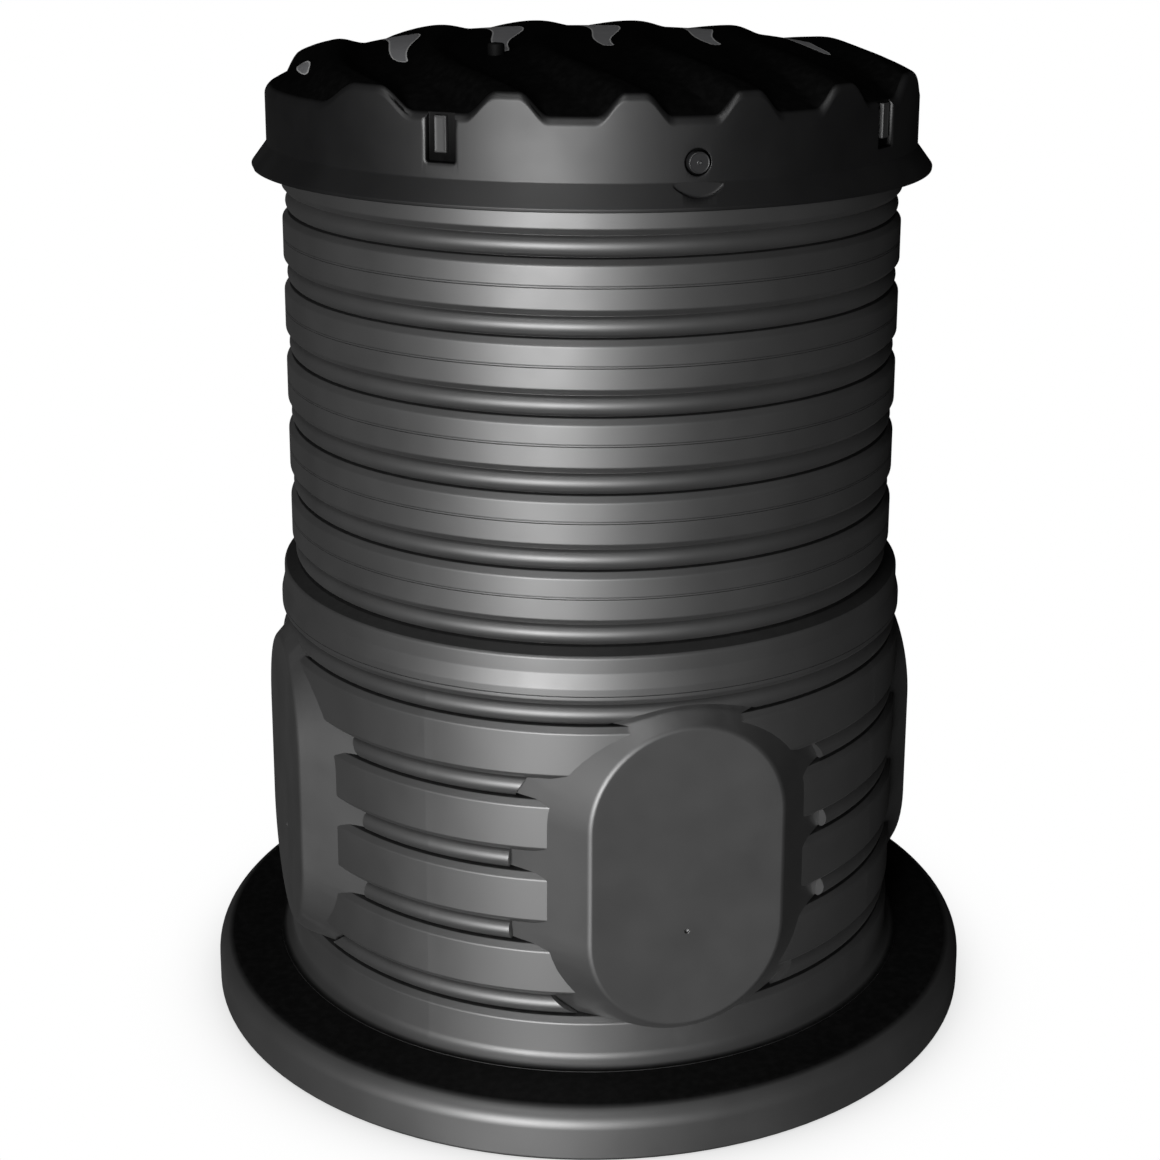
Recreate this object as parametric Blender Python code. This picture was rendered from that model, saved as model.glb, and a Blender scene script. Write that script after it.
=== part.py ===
"""A rotationally moulded underground water tank: a ribbed access neck on a wider
chamber with four flat connection pads, a broad foot that the backfill holds down,
and a lift-off lid with wave-shaped ridges.

Metres, +Z up, the origin on the ground under the middle of the foot. The front
connection pad faces -Y."""

import math

import bmesh
import bpy
from mathutils import Matrix, Vector

# Walls and fits
WALL = 0.008
LID_WALL = 0.006
GAP = 0.0003
SEGMENTS = 32

# Neck
NECK_RADIUS = 0.340
RING_HEIGHT = 0.0786
NECK_RINGS = 4
SPIGOT_RISE = 0.105
SEAL_HEIGHT = 0.006

# Grooves, each filled by one rounded bead
GROOVE_DEPTH = 0.013
GROOVE_MOUTH = 0.035
GROOVE_FLOOR = 0.027
BEAD_DROP = 0.0035

# Chamber, wider than the neck by a step
CHAMBER_STEP = 0.0136
CHAMBER_FILLET = 0.014
CHAMBER_GROOVES = 5
CHAMBER_PITCH = 0.081
FIRST_GROOVE_RISE = 0.065
CHAMBER_TOP_BAND = 0.022

# Shoulder between them
SHOULDER_STEP = 0.010
SHOULDER_BAND = 0.008
SHOULDER_SLOPE = 0.015
SHOULDER_LEDGE = 0.035

# Foot, wider than the chamber by a ledge
FOOT_LEDGE = 0.0864
FOOT_HEIGHT = 0.056
FOOT_ROUND = 0.021
FLOOR_LEDGE = 0.046

# Connection pads
PAD_COUNT = 4
PAD_PROUD = 0.0066
PAD_WIDTH = 0.209
PAD_HEIGHT = 0.332
PAD_CENTRE_RISE = 0.2094
PAD_EDGE = 0.004
PILOT_RADIUS = 0.0025
PILOT_DROP = 0.059

# Lid
LID_CLEARANCE = 0.0086
LID_SKIRT = 0.073
LID_FLARE = 0.0164
LID_FLARE_HEIGHT = 0.0255
LID_LIP = 0.0035
SEAT_WIDTH = 0.0296
CREST_RISE = 0.0693
CREST_DROP = 0.0348
VALLEY_RISE = 0.0645
VALLEY_DROP = 0.0534
VALLEY_PITCH = 0.112
VALLEY_FLOOR = 0.051
MOUTH_FLANK = 0.026
MOUTH_EASE = 0.005
WAVE_SWAY = 0.056
EDGE_ROUND = 0.004

# Lid fittings
LATCH_ANGLE = 40.4
LATCH_RECESS_WIDTH = 0.0287
LATCH_RECESS_RISE = 0.0412
LATCH_WIDTH = 0.013
LATCH_HEIGHT = 0.0355
LATCH_LIFT = 0.0085
LATCH_THICKNESS = 0.0045
LATCH_SET_IN = 0.006
LOCK_RISE = 0.0443
LOCK_FACE_RADIUS = 0.0105
LOCK_RECESS_RADIUS = 0.013
LOCK_SPOT_RADIUS = 0.027
LOCK_RECESS_DEPTH = 0.005
LOCK_PROUD = 0.0045
VENT_RADIUS = 0.0085
VENT_HEIGHT = 0.011
VENT_VALLEY = -1
VENT_FORWARD = 0.158
VENT_ASIDE = 0.017

# Radii and heights that follow from the sizes above
CHAMBER_RADIUS = NECK_RADIUS + CHAMBER_STEP
SHOULDER_RADIUS = NECK_RADIUS + SHOULDER_STEP
FOOT_RADIUS = CHAMBER_RADIUS + FOOT_LEDGE
FLOOR_RADIUS = CHAMBER_RADIUS + FLOOR_LEDGE
PAD_PLANE = CHAMBER_RADIUS + PAD_PROUD
LID_RADIUS = NECK_RADIUS + LID_CLEARANCE + LID_WALL
LID_FLARE_RADIUS = LID_RADIUS + LID_FLARE
VALLEYS_EACH_SIDE = int(LID_RADIUS / VALLEY_PITCH)
CHAMBER_FOOT = FOOT_HEIGHT + GAP
CHAMBER_TOP = (
    FOOT_HEIGHT + FIRST_GROOVE_RISE
    + (CHAMBER_GROOVES - 1) * CHAMBER_PITCH + CHAMBER_TOP_BAND
)
SHOULDER_FOOT = CHAMBER_TOP + GAP
SHOULDER_GROOVE = SHOULDER_FOOT + SHOULDER_BAND + SHOULDER_SLOPE + SHOULDER_LEDGE
NECK_FOOT = SHOULDER_GROOVE + RING_HEIGHT / 2
RIM_FOOT = NECK_FOOT + NECK_RINGS * RING_HEIGHT
RIM_TOP = RIM_FOOT + RING_HEIGHT / 2 + SPIGOT_RISE
LID_SEAT = RIM_TOP + SEAL_HEIGHT + 2 * GAP
LID_FOOT = LID_SEAT - LID_SKIRT
PAD_CENTRE = FOOT_HEIGHT + PAD_CENTRE_RISE


def clear_scene():
    for item in list(bpy.data.objects):
        bpy.data.objects.remove(item, do_unlink=True)


def plastic(name, shade, roughness):
    """A Principled material of black moulded polyethylene."""
    material = bpy.data.materials.new(name)
    material.use_nodes = True
    shader = material.node_tree.nodes["Principled BSDF"]
    shader.inputs["Base Color"].default_value = (shade, shade, shade * 1.03, 1.0)
    shader.inputs["Roughness"].default_value = roughness
    shader.inputs["Metallic"].default_value = 0.0
    return material


def add_object(name, bm, shade=0.035, roughness=0.5):
    """Makes a named object with its own material from a bmesh."""
    bmesh.ops.recalc_face_normals(bm, faces=bm.faces)
    mesh = bpy.data.meshes.new(name)
    bm.to_mesh(mesh)
    bm.free()
    obj = bpy.data.objects.new(name, mesh)
    bpy.context.scene.collection.objects.link(obj)
    mesh.materials.append(plastic(name + "_plastic", shade, roughness))
    return obj


def smooth(obj, angle=35.0):
    obj.data.shade_smooth()
    obj.data.set_sharp_from_angle(angle=math.radians(angle))


def hide_cutter(obj):
    obj.hide_render = True
    obj.display_type = "WIRE"


def boolean(obj, other, operation):
    modifier = obj.modifiers.new(operation.title() + " " + other.name, "BOOLEAN")
    modifier.operation = operation
    modifier.solver = "EXACT"
    modifier.object = other
    hide_cutter(other)


def revolve(name, profile, start=0.0, sweep=2 * math.pi, steps=SEGMENTS, **look):
    """Turns a closed (radius, height) outline about Z; a part turn gets end faces."""
    bm = bmesh.new()
    turn = Matrix.Rotation(start, 4, "Z")
    verts = [bm.verts.new(turn @ Vector((r, 0.0, z))) for r, z in profile]
    edges = [bm.edges.new((a, b)) for a, b in zip(verts, verts[1:] + verts[:1])]
    whole = sweep > 2 * math.pi - 1e-6
    bmesh.ops.spin(
        bm, geom=verts + edges, cent=(0, 0, 0), axis=(0, 0, 1),
        angle=sweep, steps=steps, use_merge=whole,
    )
    if whole:
        bmesh.ops.remove_doubles(bm, verts=bm.verts, dist=1e-6)
    else:
        bmesh.ops.holes_fill(bm, edges=[e for e in bm.edges if e.is_boundary])
    obj = add_object(name, bm, **look)
    smooth(obj)
    return obj


def arc(centre_r, centre_z, radius, first, last, steps):
    """Points of a round corner, by its centre and its end angles in degrees."""
    angles = [first + (last - first) * i / steps for i in range(steps + 1)]
    return [
        (
            centre_r + radius * math.cos(math.radians(a)),
            centre_z + radius * math.sin(math.radians(a)),
        )
        for a in angles
    ]


def groove(radius, height):
    """Outer points of one groove and its bead, from below to above."""
    valley = radius - GROOVE_DEPTH
    rise = GROOVE_DEPTH - BEAD_DROP
    bead_radius = ((GROOVE_FLOOR / 2) ** 2 + rise ** 2) / (2 * rise)
    reach = math.degrees(math.asin(GROOVE_FLOOR / 2 / bead_radius))
    centre = valley + rise - bead_radius
    bead = arc(centre, height, bead_radius, -reach, reach, 4)
    lips = [(radius, height - GROOVE_MOUTH / 2), (radius, height + GROOVE_MOUTH / 2)]
    return lips[:1] + bead + lips[1:]


def groove_back(radius, height):
    """Inner points of a groove, from above to below, one wall further in."""
    bow = (GROOVE_MOUTH + GROOVE_FLOOR) / 4 + WALL / 4
    inside = radius - WALL
    behind = radius - GROOVE_DEPTH - WALL
    reach = GROOVE_FLOOR / 2 + WALL / 2
    return [
        (inside, height + bow + WALL / 2),
        (behind, height + reach),
        (behind, height - reach),
        (inside, height - bow - WALL / 2),
    ]


def ring_profile(radius, foot, top, groove_heights):
    """Outline of a ribbed wall between two heights."""
    outer = [(radius, foot)]
    for height in groove_heights:
        outer += groove(radius, height)
    outer.append((radius, top))
    inner = [(radius - WALL, top)]
    for height in reversed(groove_heights):
        inner += groove_back(radius, height)
    inner.append((radius - WALL, foot))
    return outer + inner


def build_foot():
    """The floor disc, and the hollow foot ring round it that anchors the tank."""
    floor_outline = bmesh.new()
    bmesh.ops.create_cone(
        floor_outline, cap_ends=True, segments=SEGMENTS,
        radius1=FLOOR_RADIUS, radius2=FLOOR_RADIUS, depth=WALL,
        matrix=Matrix.Translation((0, 0, WALL / 2)),
    )
    add_object("tank_floor", floor_outline, 0.03, 0.6)
    inner_edge = CHAMBER_RADIUS - WALL
    corner_r = FOOT_RADIUS - FOOT_ROUND
    corner_z = FOOT_HEIGHT - FOOT_ROUND
    outline = [(FLOOR_RADIUS + GAP, 0.0), (FOOT_RADIUS - WALL / 2, 0.0)]
    outline += [(FOOT_RADIUS, WALL / 2)]
    outline += arc(corner_r, corner_z, FOOT_ROUND, 0, 90, 4)
    outline += [(inner_edge, FOOT_HEIGHT), (inner_edge, FOOT_HEIGHT - WALL)]
    outline += arc(corner_r, corner_z, FOOT_ROUND - WALL, 90, 0, 2)
    outline += [(FOOT_RADIUS - WALL, WALL * 1.5), (FLOOR_RADIUS + GAP, WALL)]
    revolve("foot_ring", outline, shade=0.04)


def flank_reach(radius):
    """How far a pad's 45 degree flank runs from its edge: past a radius of the wall,
    but no further than the joint with the next quarter."""
    across = PAD_WIDTH / 2
    ahead = PAD_PLANE - PAD_EDGE
    half = (ahead - across) / 2
    room = half ** 2 - (across ** 2 + ahead ** 2 - radius ** 2) / 2
    crossing = half - math.sqrt(max(room, 0.0))
    return min(crossing + WALL, half - GAP)


def stadium(bm, plane, spread):
    """One loop of a pad's upright oblong, facing -Y, widened by spread."""
    radius = PAD_WIDTH / 2 + spread
    straight = (PAD_HEIGHT - PAD_WIDTH) / 2
    loop = []
    for centre, first in ((straight, 0.0), (-straight, math.pi)):
        for i in range(9):
            angle = first + math.pi * i / 8
            loop.append(bm.verts.new((
                radius * math.cos(angle), -plane,
                PAD_CENTRE + centre + radius * math.sin(angle),
            )))
    edges = [bm.edges.new((a, b)) for a, b in zip(loop, loop[1:] + loop[:1])]
    return edges


def pad_solid(name, steps):
    """A closed loft through pad outlines, given as (plane, spread) pairs."""
    bm = bmesh.new()
    loops = [stadium(bm, plane, spread) for plane, spread in steps]
    for first, second in zip(loops, loops[1:]):
        bmesh.ops.bridge_loops(bm, edges=first + second)
    for loop in (loops[0], loops[-1]):
        bmesh.ops.edgeloop_fill(bm, edges=loop)
    return add_object(name, bm)


def build_chamber():
    """Four quarters of the ribbed chamber wall, each with its connection pad."""
    first = FOOT_HEIGHT + FIRST_GROOVE_RISE
    grooves = [first + i * CHAMBER_PITCH for i in range(CHAMBER_GROOVES)]
    wall = ring_profile(CHAMBER_RADIUS, CHAMBER_FOOT, CHAMBER_TOP, grooves)
    fillet = [
        (CHAMBER_RADIUS + CHAMBER_FILLET, CHAMBER_FOOT),
        (CHAMBER_RADIUS + CHAMBER_FILLET, CHAMBER_FOOT + 0.001),
    ]
    fillet += arc(
        CHAMBER_RADIUS + CHAMBER_FILLET, CHAMBER_FOOT + CHAMBER_FILLET,
        CHAMBER_FILLET, 240, 180, 2,
    )
    profile = fillet + wall[1:]
    clearance = GAP / 2 / CHAMBER_RADIUS
    quarter = 2 * math.pi / PAD_COUNT
    bore_radius = (CHAMBER_RADIUS - GROOVE_DEPTH - WALL) * math.cos(math.pi / SEGMENTS)
    spread = flank_reach(bore_radius * math.cos(math.pi / SEGMENTS))
    pad = pad_solid("pad_outside", [
        (PAD_PLANE, -PAD_EDGE),
        (PAD_PLANE - PAD_EDGE, 0.0),
        (PAD_PLANE - PAD_EDGE - spread, spread),
    ])
    inset = WALL * (math.sqrt(2) - 1)
    recess = pad_solid("pad_inside", [
        (PAD_PLANE - WALL, -PAD_EDGE - inset),
        (PAD_PLANE - WALL - PAD_EDGE, -inset),
        (PAD_PLANE - WALL - PAD_EDGE - spread, spread - inset),
    ])
    bore_bm = bmesh.new()
    bmesh.ops.create_cone(
        bore_bm, cap_ends=True, segments=SEGMENTS, radius1=bore_radius,
        radius2=bore_radius, depth=4 * CHAMBER_TOP,
        matrix=Matrix.Rotation(math.pi / SEGMENTS, 4, "Z"),
    )
    bore = add_object("chamber_bore", bore_bm)
    pilot_bm = bmesh.new()
    bmesh.ops.create_cone(
        pilot_bm, cap_ends=True, segments=8, radius1=PILOT_RADIUS,
        radius2=PILOT_RADIUS, depth=WALL,
        matrix=Matrix.Translation((0, -PAD_PLANE, PAD_CENTRE - PILOT_DROP))
        @ Matrix.Rotation(math.pi / 2, 4, "X"),
    )
    pilot = add_object("pad_pilot", pilot_bm)
    sides = ("front", "right", "back", "left")
    for i, side in enumerate(sides[:PAD_COUNT]):
        piece = revolve(
            "chamber_wall_" + side, profile,
            start=-math.pi / 2 - quarter / 2 + clearance,
            sweep=quarter - 2 * clearance, steps=SEGMENTS // PAD_COUNT,
        )
        boolean(piece, pad, "UNION")
        boolean(piece, recess, "DIFFERENCE")
        boolean(piece, bore, "DIFFERENCE")
        boolean(piece, pilot, "DIFFERENCE")
        apply_modifiers(piece)
        piece.rotation_euler.z = i * quarter


def apply_modifiers(obj):
    """Keeps the evaluated shape, so that a turned copy needs no turned cutter."""
    graph = bpy.context.evaluated_depsgraph_get()
    shape = bpy.data.meshes.new_from_object(obj.evaluated_get(graph))
    obj.modifiers.clear()
    obj.data = shape


def build_shoulder():
    """The ring that narrows from the chamber to the neck, with the lowest neck groove."""
    slope_foot = SHOULDER_FOOT + SHOULDER_BAND
    slope_top = slope_foot + SHOULDER_SLOPE
    outer = [
        (CHAMBER_RADIUS, SHOULDER_FOOT),
        (CHAMBER_RADIUS, slope_foot),
        (SHOULDER_RADIUS, slope_top),
        (SHOULDER_RADIUS, SHOULDER_GROOVE - GROOVE_MOUTH / 2),
    ]
    outer += groove(NECK_RADIUS, SHOULDER_GROOVE)[1:]
    outer.append((NECK_RADIUS, NECK_FOOT))
    inner = [(NECK_RADIUS - WALL, NECK_FOOT)]
    inner += groove_back(NECK_RADIUS, SHOULDER_GROOVE)[:3]
    inner += [
        (SHOULDER_RADIUS - WALL, SHOULDER_GROOVE - GROOVE_MOUTH / 2 - WALL),
        (CHAMBER_RADIUS - WALL, slope_foot),
        (CHAMBER_RADIUS - WALL, SHOULDER_FOOT),
    ]
    revolve("shoulder_ring", outer + inner)


def build_neck():
    """Neck rings that can be cut off at the lines between them, and the rim on top."""
    for i in range(NECK_RINGS):
        foot = NECK_FOOT + i * RING_HEIGHT + GAP
        top = NECK_FOOT + (i + 1) * RING_HEIGHT
        middle = foot + RING_HEIGHT / 2
        profile = ring_profile(NECK_RADIUS, foot, top, [middle])
        revolve(f"neck_ring_{NECK_RINGS - i}", profile)
    foot = RIM_FOOT + GAP
    profile = ring_profile(NECK_RADIUS, foot, RIM_TOP, [foot + RING_HEIGHT / 2])
    revolve("neck_rim", profile)
    seal_foot = RIM_TOP + GAP
    outline = [
        (NECK_RADIUS - WALL, seal_foot),
        (NECK_RADIUS, seal_foot),
        (NECK_RADIUS, seal_foot + SEAL_HEIGHT),
        (NECK_RADIUS - WALL, seal_foot + SEAL_HEIGHT),
    ]
    revolve("neck_seal", outline, shade=0.015, roughness=0.8)


def smoothstep(value):
    value = min(max(value, 0.0), 1.0)
    return value * value * (3 - 2 * value)


def lid_height(across, radius):
    """Height of the lid's top above its seat, across a valley line at a radius."""
    part = (radius / LID_RADIUS) ** 2
    crest = CREST_RISE - CREST_DROP * part ** 2
    valley = VALLEY_RISE - VALLEY_DROP * part ** 2
    mouth = smoothstep((part - 0.5) * 2)
    off = abs((across + VALLEY_PITCH / 2) % VALLEY_PITCH - VALLEY_PITCH / 2)
    flank = (VALLEY_PITCH - VALLEY_FLOOR) / 2
    flank += (MOUTH_FLANK - flank) * mouth
    edge = VALLEY_FLOOR / 2 - MOUTH_EASE * mouth
    return valley + (crest - valley) * smoothstep((off - edge) / flank)


def lid_columns(radius):
    """Distances across the lid where its grid has a line: floors, flanks and crests."""
    edge = 0.5 * VALLEY_FLOOR - MOUTH_EASE
    marks = (edge, edge + 0.5 * MOUTH_FLANK, edge + MOUTH_FLANK, 0.5 * VALLEY_PITCH)
    lines = set()
    for k in range(-VALLEYS_EACH_SIDE, VALLEYS_EACH_SIDE + 1):
        for mark in marks:
            lines.add(round(k * VALLEY_PITCH + mark, 6))
            lines.add(round(k * VALLEY_PITCH - mark, 6))
    limit = radius * math.cos(math.radians(24))
    lines = [line for line in lines if abs(line) < limit]
    for angle in (8, 16):
        side = radius * math.cos(math.radians(angle))
        lines += [side, -side]
    return sorted(lines)


def lid_point(line, along):
    """A plan point of the lid's grid: line is its place at the rim, along runs -1 to 1."""
    reach = math.sqrt(max(LID_RADIUS ** 2 - line ** 2, 0.0))
    sway = WAVE_SWAY * (reach / LID_RADIUS) ** 2 * math.sin(math.pi * along)
    return line + sway, along * reach


def along_at(line, radius, side):
    """Where a grid line crosses a circle, on the side given by its sign."""
    near, far = 0.0, float(side)
    for _ in range(40):
        middle = (near + far) / 2
        if math.hypot(*lid_point(line, middle)) < radius:
            near = middle
        else:
            far = middle
    return far


def lid_sheet(bm, radius, lower, rows):
    """One side of the lid's top, out to a circle, and the loop of its rim."""
    grid = []
    for line in lid_columns(radius):
        front = along_at(line, radius, -1)
        back = along_at(line, radius, 1)
        column = []
        for row in rows:
            x, y = lid_point(line, front + (back - front) * (row + 1) / 2)
            top = lid_height(line, math.hypot(x, y)) - lower
            if abs(row) == 1:
                top -= EDGE_ROUND
            column.append(bm.verts.new((x, y, LID_SEAT + top)))
        grid.append(column)
    ends = []
    for side in (-1, 1):
        top = lid_height(side * radius, radius) - lower - EDGE_ROUND
        ends.append(bm.verts.new((side * radius, 0.0, LID_SEAT + top)))
    for left, right in zip(grid, grid[1:]):
        for i in range(len(rows) - 1):
            bm.faces.new((left[i], right[i], right[i + 1], left[i + 1]))
    for column, end in ((grid[0], ends[0]), (grid[-1], ends[1])):
        for a, b in zip(column, column[1:]):
            bm.faces.new((a, b, end))
    front = [column[0] for column in grid]
    back = [column[-1] for column in reversed(grid)]
    return front + [ends[1]] + back + [ends[0]]


def drop_loop(bm, loop, radius, height):
    """A level loop below another one, at its own radius."""
    dropped = []
    for vert in loop:
        flat = Vector((vert.co.x, vert.co.y, 0)).normalized() * radius
        dropped.append(bm.verts.new((flat.x, flat.y, height)))
    return dropped


def bridge(bm, first, second):
    size = len(first)
    for i in range(size):
        j = (i + 1) % size
        bm.faces.new((first[i], first[j], second[j], second[i]))


def loop_edges(bm, loop):
    return [bm.edges.get((a, b)) for a, b in zip(loop, loop[1:] + loop[:1])]


def radial_box(width, depth, height, radius, angle, centre):
    """A box on the lid's side: depth runs outwards from radius, angle 0 is the front."""
    bm = bmesh.new()
    bmesh.ops.create_cube(bm, size=1.0, matrix=Matrix.Diagonal((width, depth, height, 1)))
    turn = Matrix.Rotation(math.radians(angle), 4, "Z")
    shift = Matrix.Translation((0, -(radius + depth / 2), centre))
    bmesh.ops.transform(bm, matrix=turn @ shift, verts=bm.verts)
    return bm


def radial_rod(radius, start, length, angle, centre, segments):
    """A short rod pointing outwards on the lid's side."""
    bm = bmesh.new()
    bmesh.ops.create_cone(
        bm, cap_ends=True, segments=segments, radius1=radius, radius2=radius,
        depth=length, matrix=Matrix.Rotation(math.pi / 2, 4, "X"),
    )
    turn = Matrix.Rotation(math.radians(angle), 4, "Z")
    shift = Matrix.Translation((0, -(start + length / 2), centre))
    bmesh.ops.transform(bm, matrix=turn @ shift, verts=bm.verts)
    return bm


def latch_angles():
    return (-LATCH_ANGLE, LATCH_ANGLE, 180 - LATCH_ANGLE, 180 + LATCH_ANGLE)


def build_lid():
    """The wave-ridged top and the flared skirt of the lift-off lid."""
    bm = bmesh.new()
    rows = (-1, -0.95, -0.8, -0.6, -0.4, -0.2, 0)
    rows = rows + tuple(-row for row in reversed(rows[:-1]))
    inner_radius = LID_RADIUS - SEAT_WIDTH
    top_loop = lid_sheet(bm, LID_RADIUS, 0.0, rows)
    under_loop = lid_sheet(bm, inner_radius, LID_WALL, rows)
    outer_foot = drop_loop(bm, top_loop, LID_RADIUS, LID_SEAT)
    inner_foot = drop_loop(bm, under_loop, inner_radius, LID_SEAT)
    bridge(bm, top_loop, outer_foot)
    bridge(bm, inner_foot, under_loop)
    bmesh.ops.bridge_loops(bm, edges=loop_edges(bm, outer_foot) + loop_edges(bm, inner_foot))
    top = add_object("lid_top", bm, 0.012, 0.35)
    smooth(top)
    seat = LID_SEAT - GAP
    wall = LID_RADIUS - WALL
    outline = [
        (LID_FLARE_RADIUS - WALL, LID_FOOT),
        (LID_FLARE_RADIUS - 0.002, LID_FOOT),
        (LID_FLARE_RADIUS, LID_FOOT + LID_LIP),
        (LID_RADIUS, LID_FOOT + LID_FLARE_HEIGHT),
        (LID_RADIUS, seat),
        (wall, seat),
        (wall, LID_FOOT + LID_FLARE_HEIGHT),
    ]
    skirt = revolve("lid_skirt", outline, shade=0.02, roughness=0.4)
    build_latches(top, skirt)
    build_locks(skirt)
    build_vent(top)


def build_latches(top, skirt):
    """Four snap tongues in recesses under the valley mouths."""
    inside = LID_RADIUS - LATCH_SET_IN
    foot = LID_FOOT + LATCH_RECESS_RISE
    for number, angle in enumerate(latch_angles(), 1):
        recess = add_object(f"latch_recess_{number}", radial_box(
            LATCH_RECESS_WIDTH, LID_FLARE, LID_SKIRT, inside, angle,
            foot + LID_SKIRT / 2,
        ))
        boolean(top, recess, "DIFFERENCE")
        boolean(skirt, recess, "DIFFERENCE")
        bm = radial_box(
            LATCH_WIDTH, LATCH_THICKNESS, LATCH_HEIGHT, inside + GAP, angle,
            foot + LATCH_LIFT + LATCH_HEIGHT / 2,
        )
        add_object(f"lid_latch_{number}", bm, 0.09, 0.35)


def build_locks(skirt):
    """A round lock plug over the front and the back pad, each in a spot face."""
    height = LID_FOOT + LOCK_RISE
    floor = LID_RADIUS - LOCK_RECESS_DEPTH
    for number, angle in enumerate((0, 180), 1):
        spot = add_object(f"lock_spot_{number}", radial_rod(
            LOCK_SPOT_RADIUS, LID_RADIUS + GAP, 0.04, angle, height, 24,
        ))
        recess = add_object(f"lock_recess_{number}", radial_rod(
            LOCK_RECESS_RADIUS, floor, 0.04, angle, height, 20,
        ))
        boolean(skirt, spot, "DIFFERENCE")
        boolean(skirt, recess, "DIFFERENCE")
        bm = radial_rod(
            LOCK_FACE_RADIUS, floor + GAP, LOCK_RECESS_DEPTH + LOCK_PROUD,
            angle, height, 16,
        )
        plug = add_object(f"lid_lock_{number}", bm, 0.05, 0.4)
        smooth(plug)


def build_vent(top):
    """A small round knob let into the floor of one valley, beside its middle line."""
    x, y = lid_point(VENT_VALLEY * VALLEY_PITCH, -VENT_FORWARD / LID_RADIUS)
    x += VENT_ASIDE
    across = VENT_VALLEY * VALLEY_PITCH + VENT_ASIDE
    floor = LID_SEAT + lid_height(across, math.hypot(x, y))
    depth = LID_WALL / 2
    length = depth - GAP + VENT_HEIGHT
    bm = bmesh.new()
    bmesh.ops.create_cone(
        bm, cap_ends=True, segments=16, radius1=VENT_RADIUS + GAP,
        radius2=VENT_RADIUS + GAP, depth=0.04,
        matrix=Matrix.Translation((x, y, floor - depth + 0.02)),
    )
    boolean(top, add_object("vent_recess", bm), "DIFFERENCE")
    bm = bmesh.new()
    bmesh.ops.create_cone(
        bm, cap_ends=True, segments=16, radius1=VENT_RADIUS, radius2=VENT_RADIUS,
        depth=length,
        matrix=Matrix.Translation((x, y, floor + VENT_HEIGHT - length / 2)),
    )
    add_object("lid_vent", bm, 0.01, 0.5)


def main():
    clear_scene()
    build_foot()
    build_chamber()
    build_shoulder()
    build_neck()
    build_lid()


main()
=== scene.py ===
"""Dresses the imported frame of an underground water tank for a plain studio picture.

The tank is black rotationally moulded polyethylene: a foot, a chamber of four quarters
that each carry a flat connection pad, a shoulder, and a ribbed neck. A lift-off lid
with wave-shaped ridges closes it. Metres, +Z up, the front pad faces -Y."""

import logging
import math
from collections.abc import Callable
from dataclasses import dataclass, field
from enum import Enum

import bmesh
import bpy
import numpy as np
from mathutils import Matrix, Vector


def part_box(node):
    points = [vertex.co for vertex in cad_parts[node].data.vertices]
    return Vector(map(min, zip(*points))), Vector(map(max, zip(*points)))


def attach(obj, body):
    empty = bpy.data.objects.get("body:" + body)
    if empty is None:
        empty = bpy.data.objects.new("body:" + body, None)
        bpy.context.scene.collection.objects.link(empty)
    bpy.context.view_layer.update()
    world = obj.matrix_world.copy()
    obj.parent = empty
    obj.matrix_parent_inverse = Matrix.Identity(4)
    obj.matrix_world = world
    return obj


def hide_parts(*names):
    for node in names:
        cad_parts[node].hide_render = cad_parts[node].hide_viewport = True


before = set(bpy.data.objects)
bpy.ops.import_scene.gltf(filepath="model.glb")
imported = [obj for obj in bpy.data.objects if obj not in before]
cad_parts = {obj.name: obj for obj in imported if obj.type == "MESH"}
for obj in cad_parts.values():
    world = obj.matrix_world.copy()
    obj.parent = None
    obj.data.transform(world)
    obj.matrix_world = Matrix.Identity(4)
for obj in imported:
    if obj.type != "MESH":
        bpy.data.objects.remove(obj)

log = logging.getLogger("tank")

Corner = tuple[float, float, float]
Point = tuple[float, float]
Colour = tuple[float, float, float, float]
Socket = bpy.types.NodeSocket
Solid = bpy.types.Object

WALL = 0.008
CHAMBER_RADIUS = 0.3536
WHOLE: Point = (0.0, 1.0)
NOISE_RANGE: Point = (0.3, 0.7)


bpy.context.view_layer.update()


class Body(Enum):
    """The two bodies of the frame."""

    TANK = "tank"
    LID = "lid"


class Slot(Enum):
    """Names of the material slots."""

    TANK = "tank_plastic"
    LID = "lid_plastic"
    FITTING = "fitting_plastic"
    SEAL = "seal_rubber"


class Join(Enum):
    """How one solid is worked into another."""

    WELD = "UNION"
    CUT = "DIFFERENCE"
    COMMON = "INTERSECT"


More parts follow.
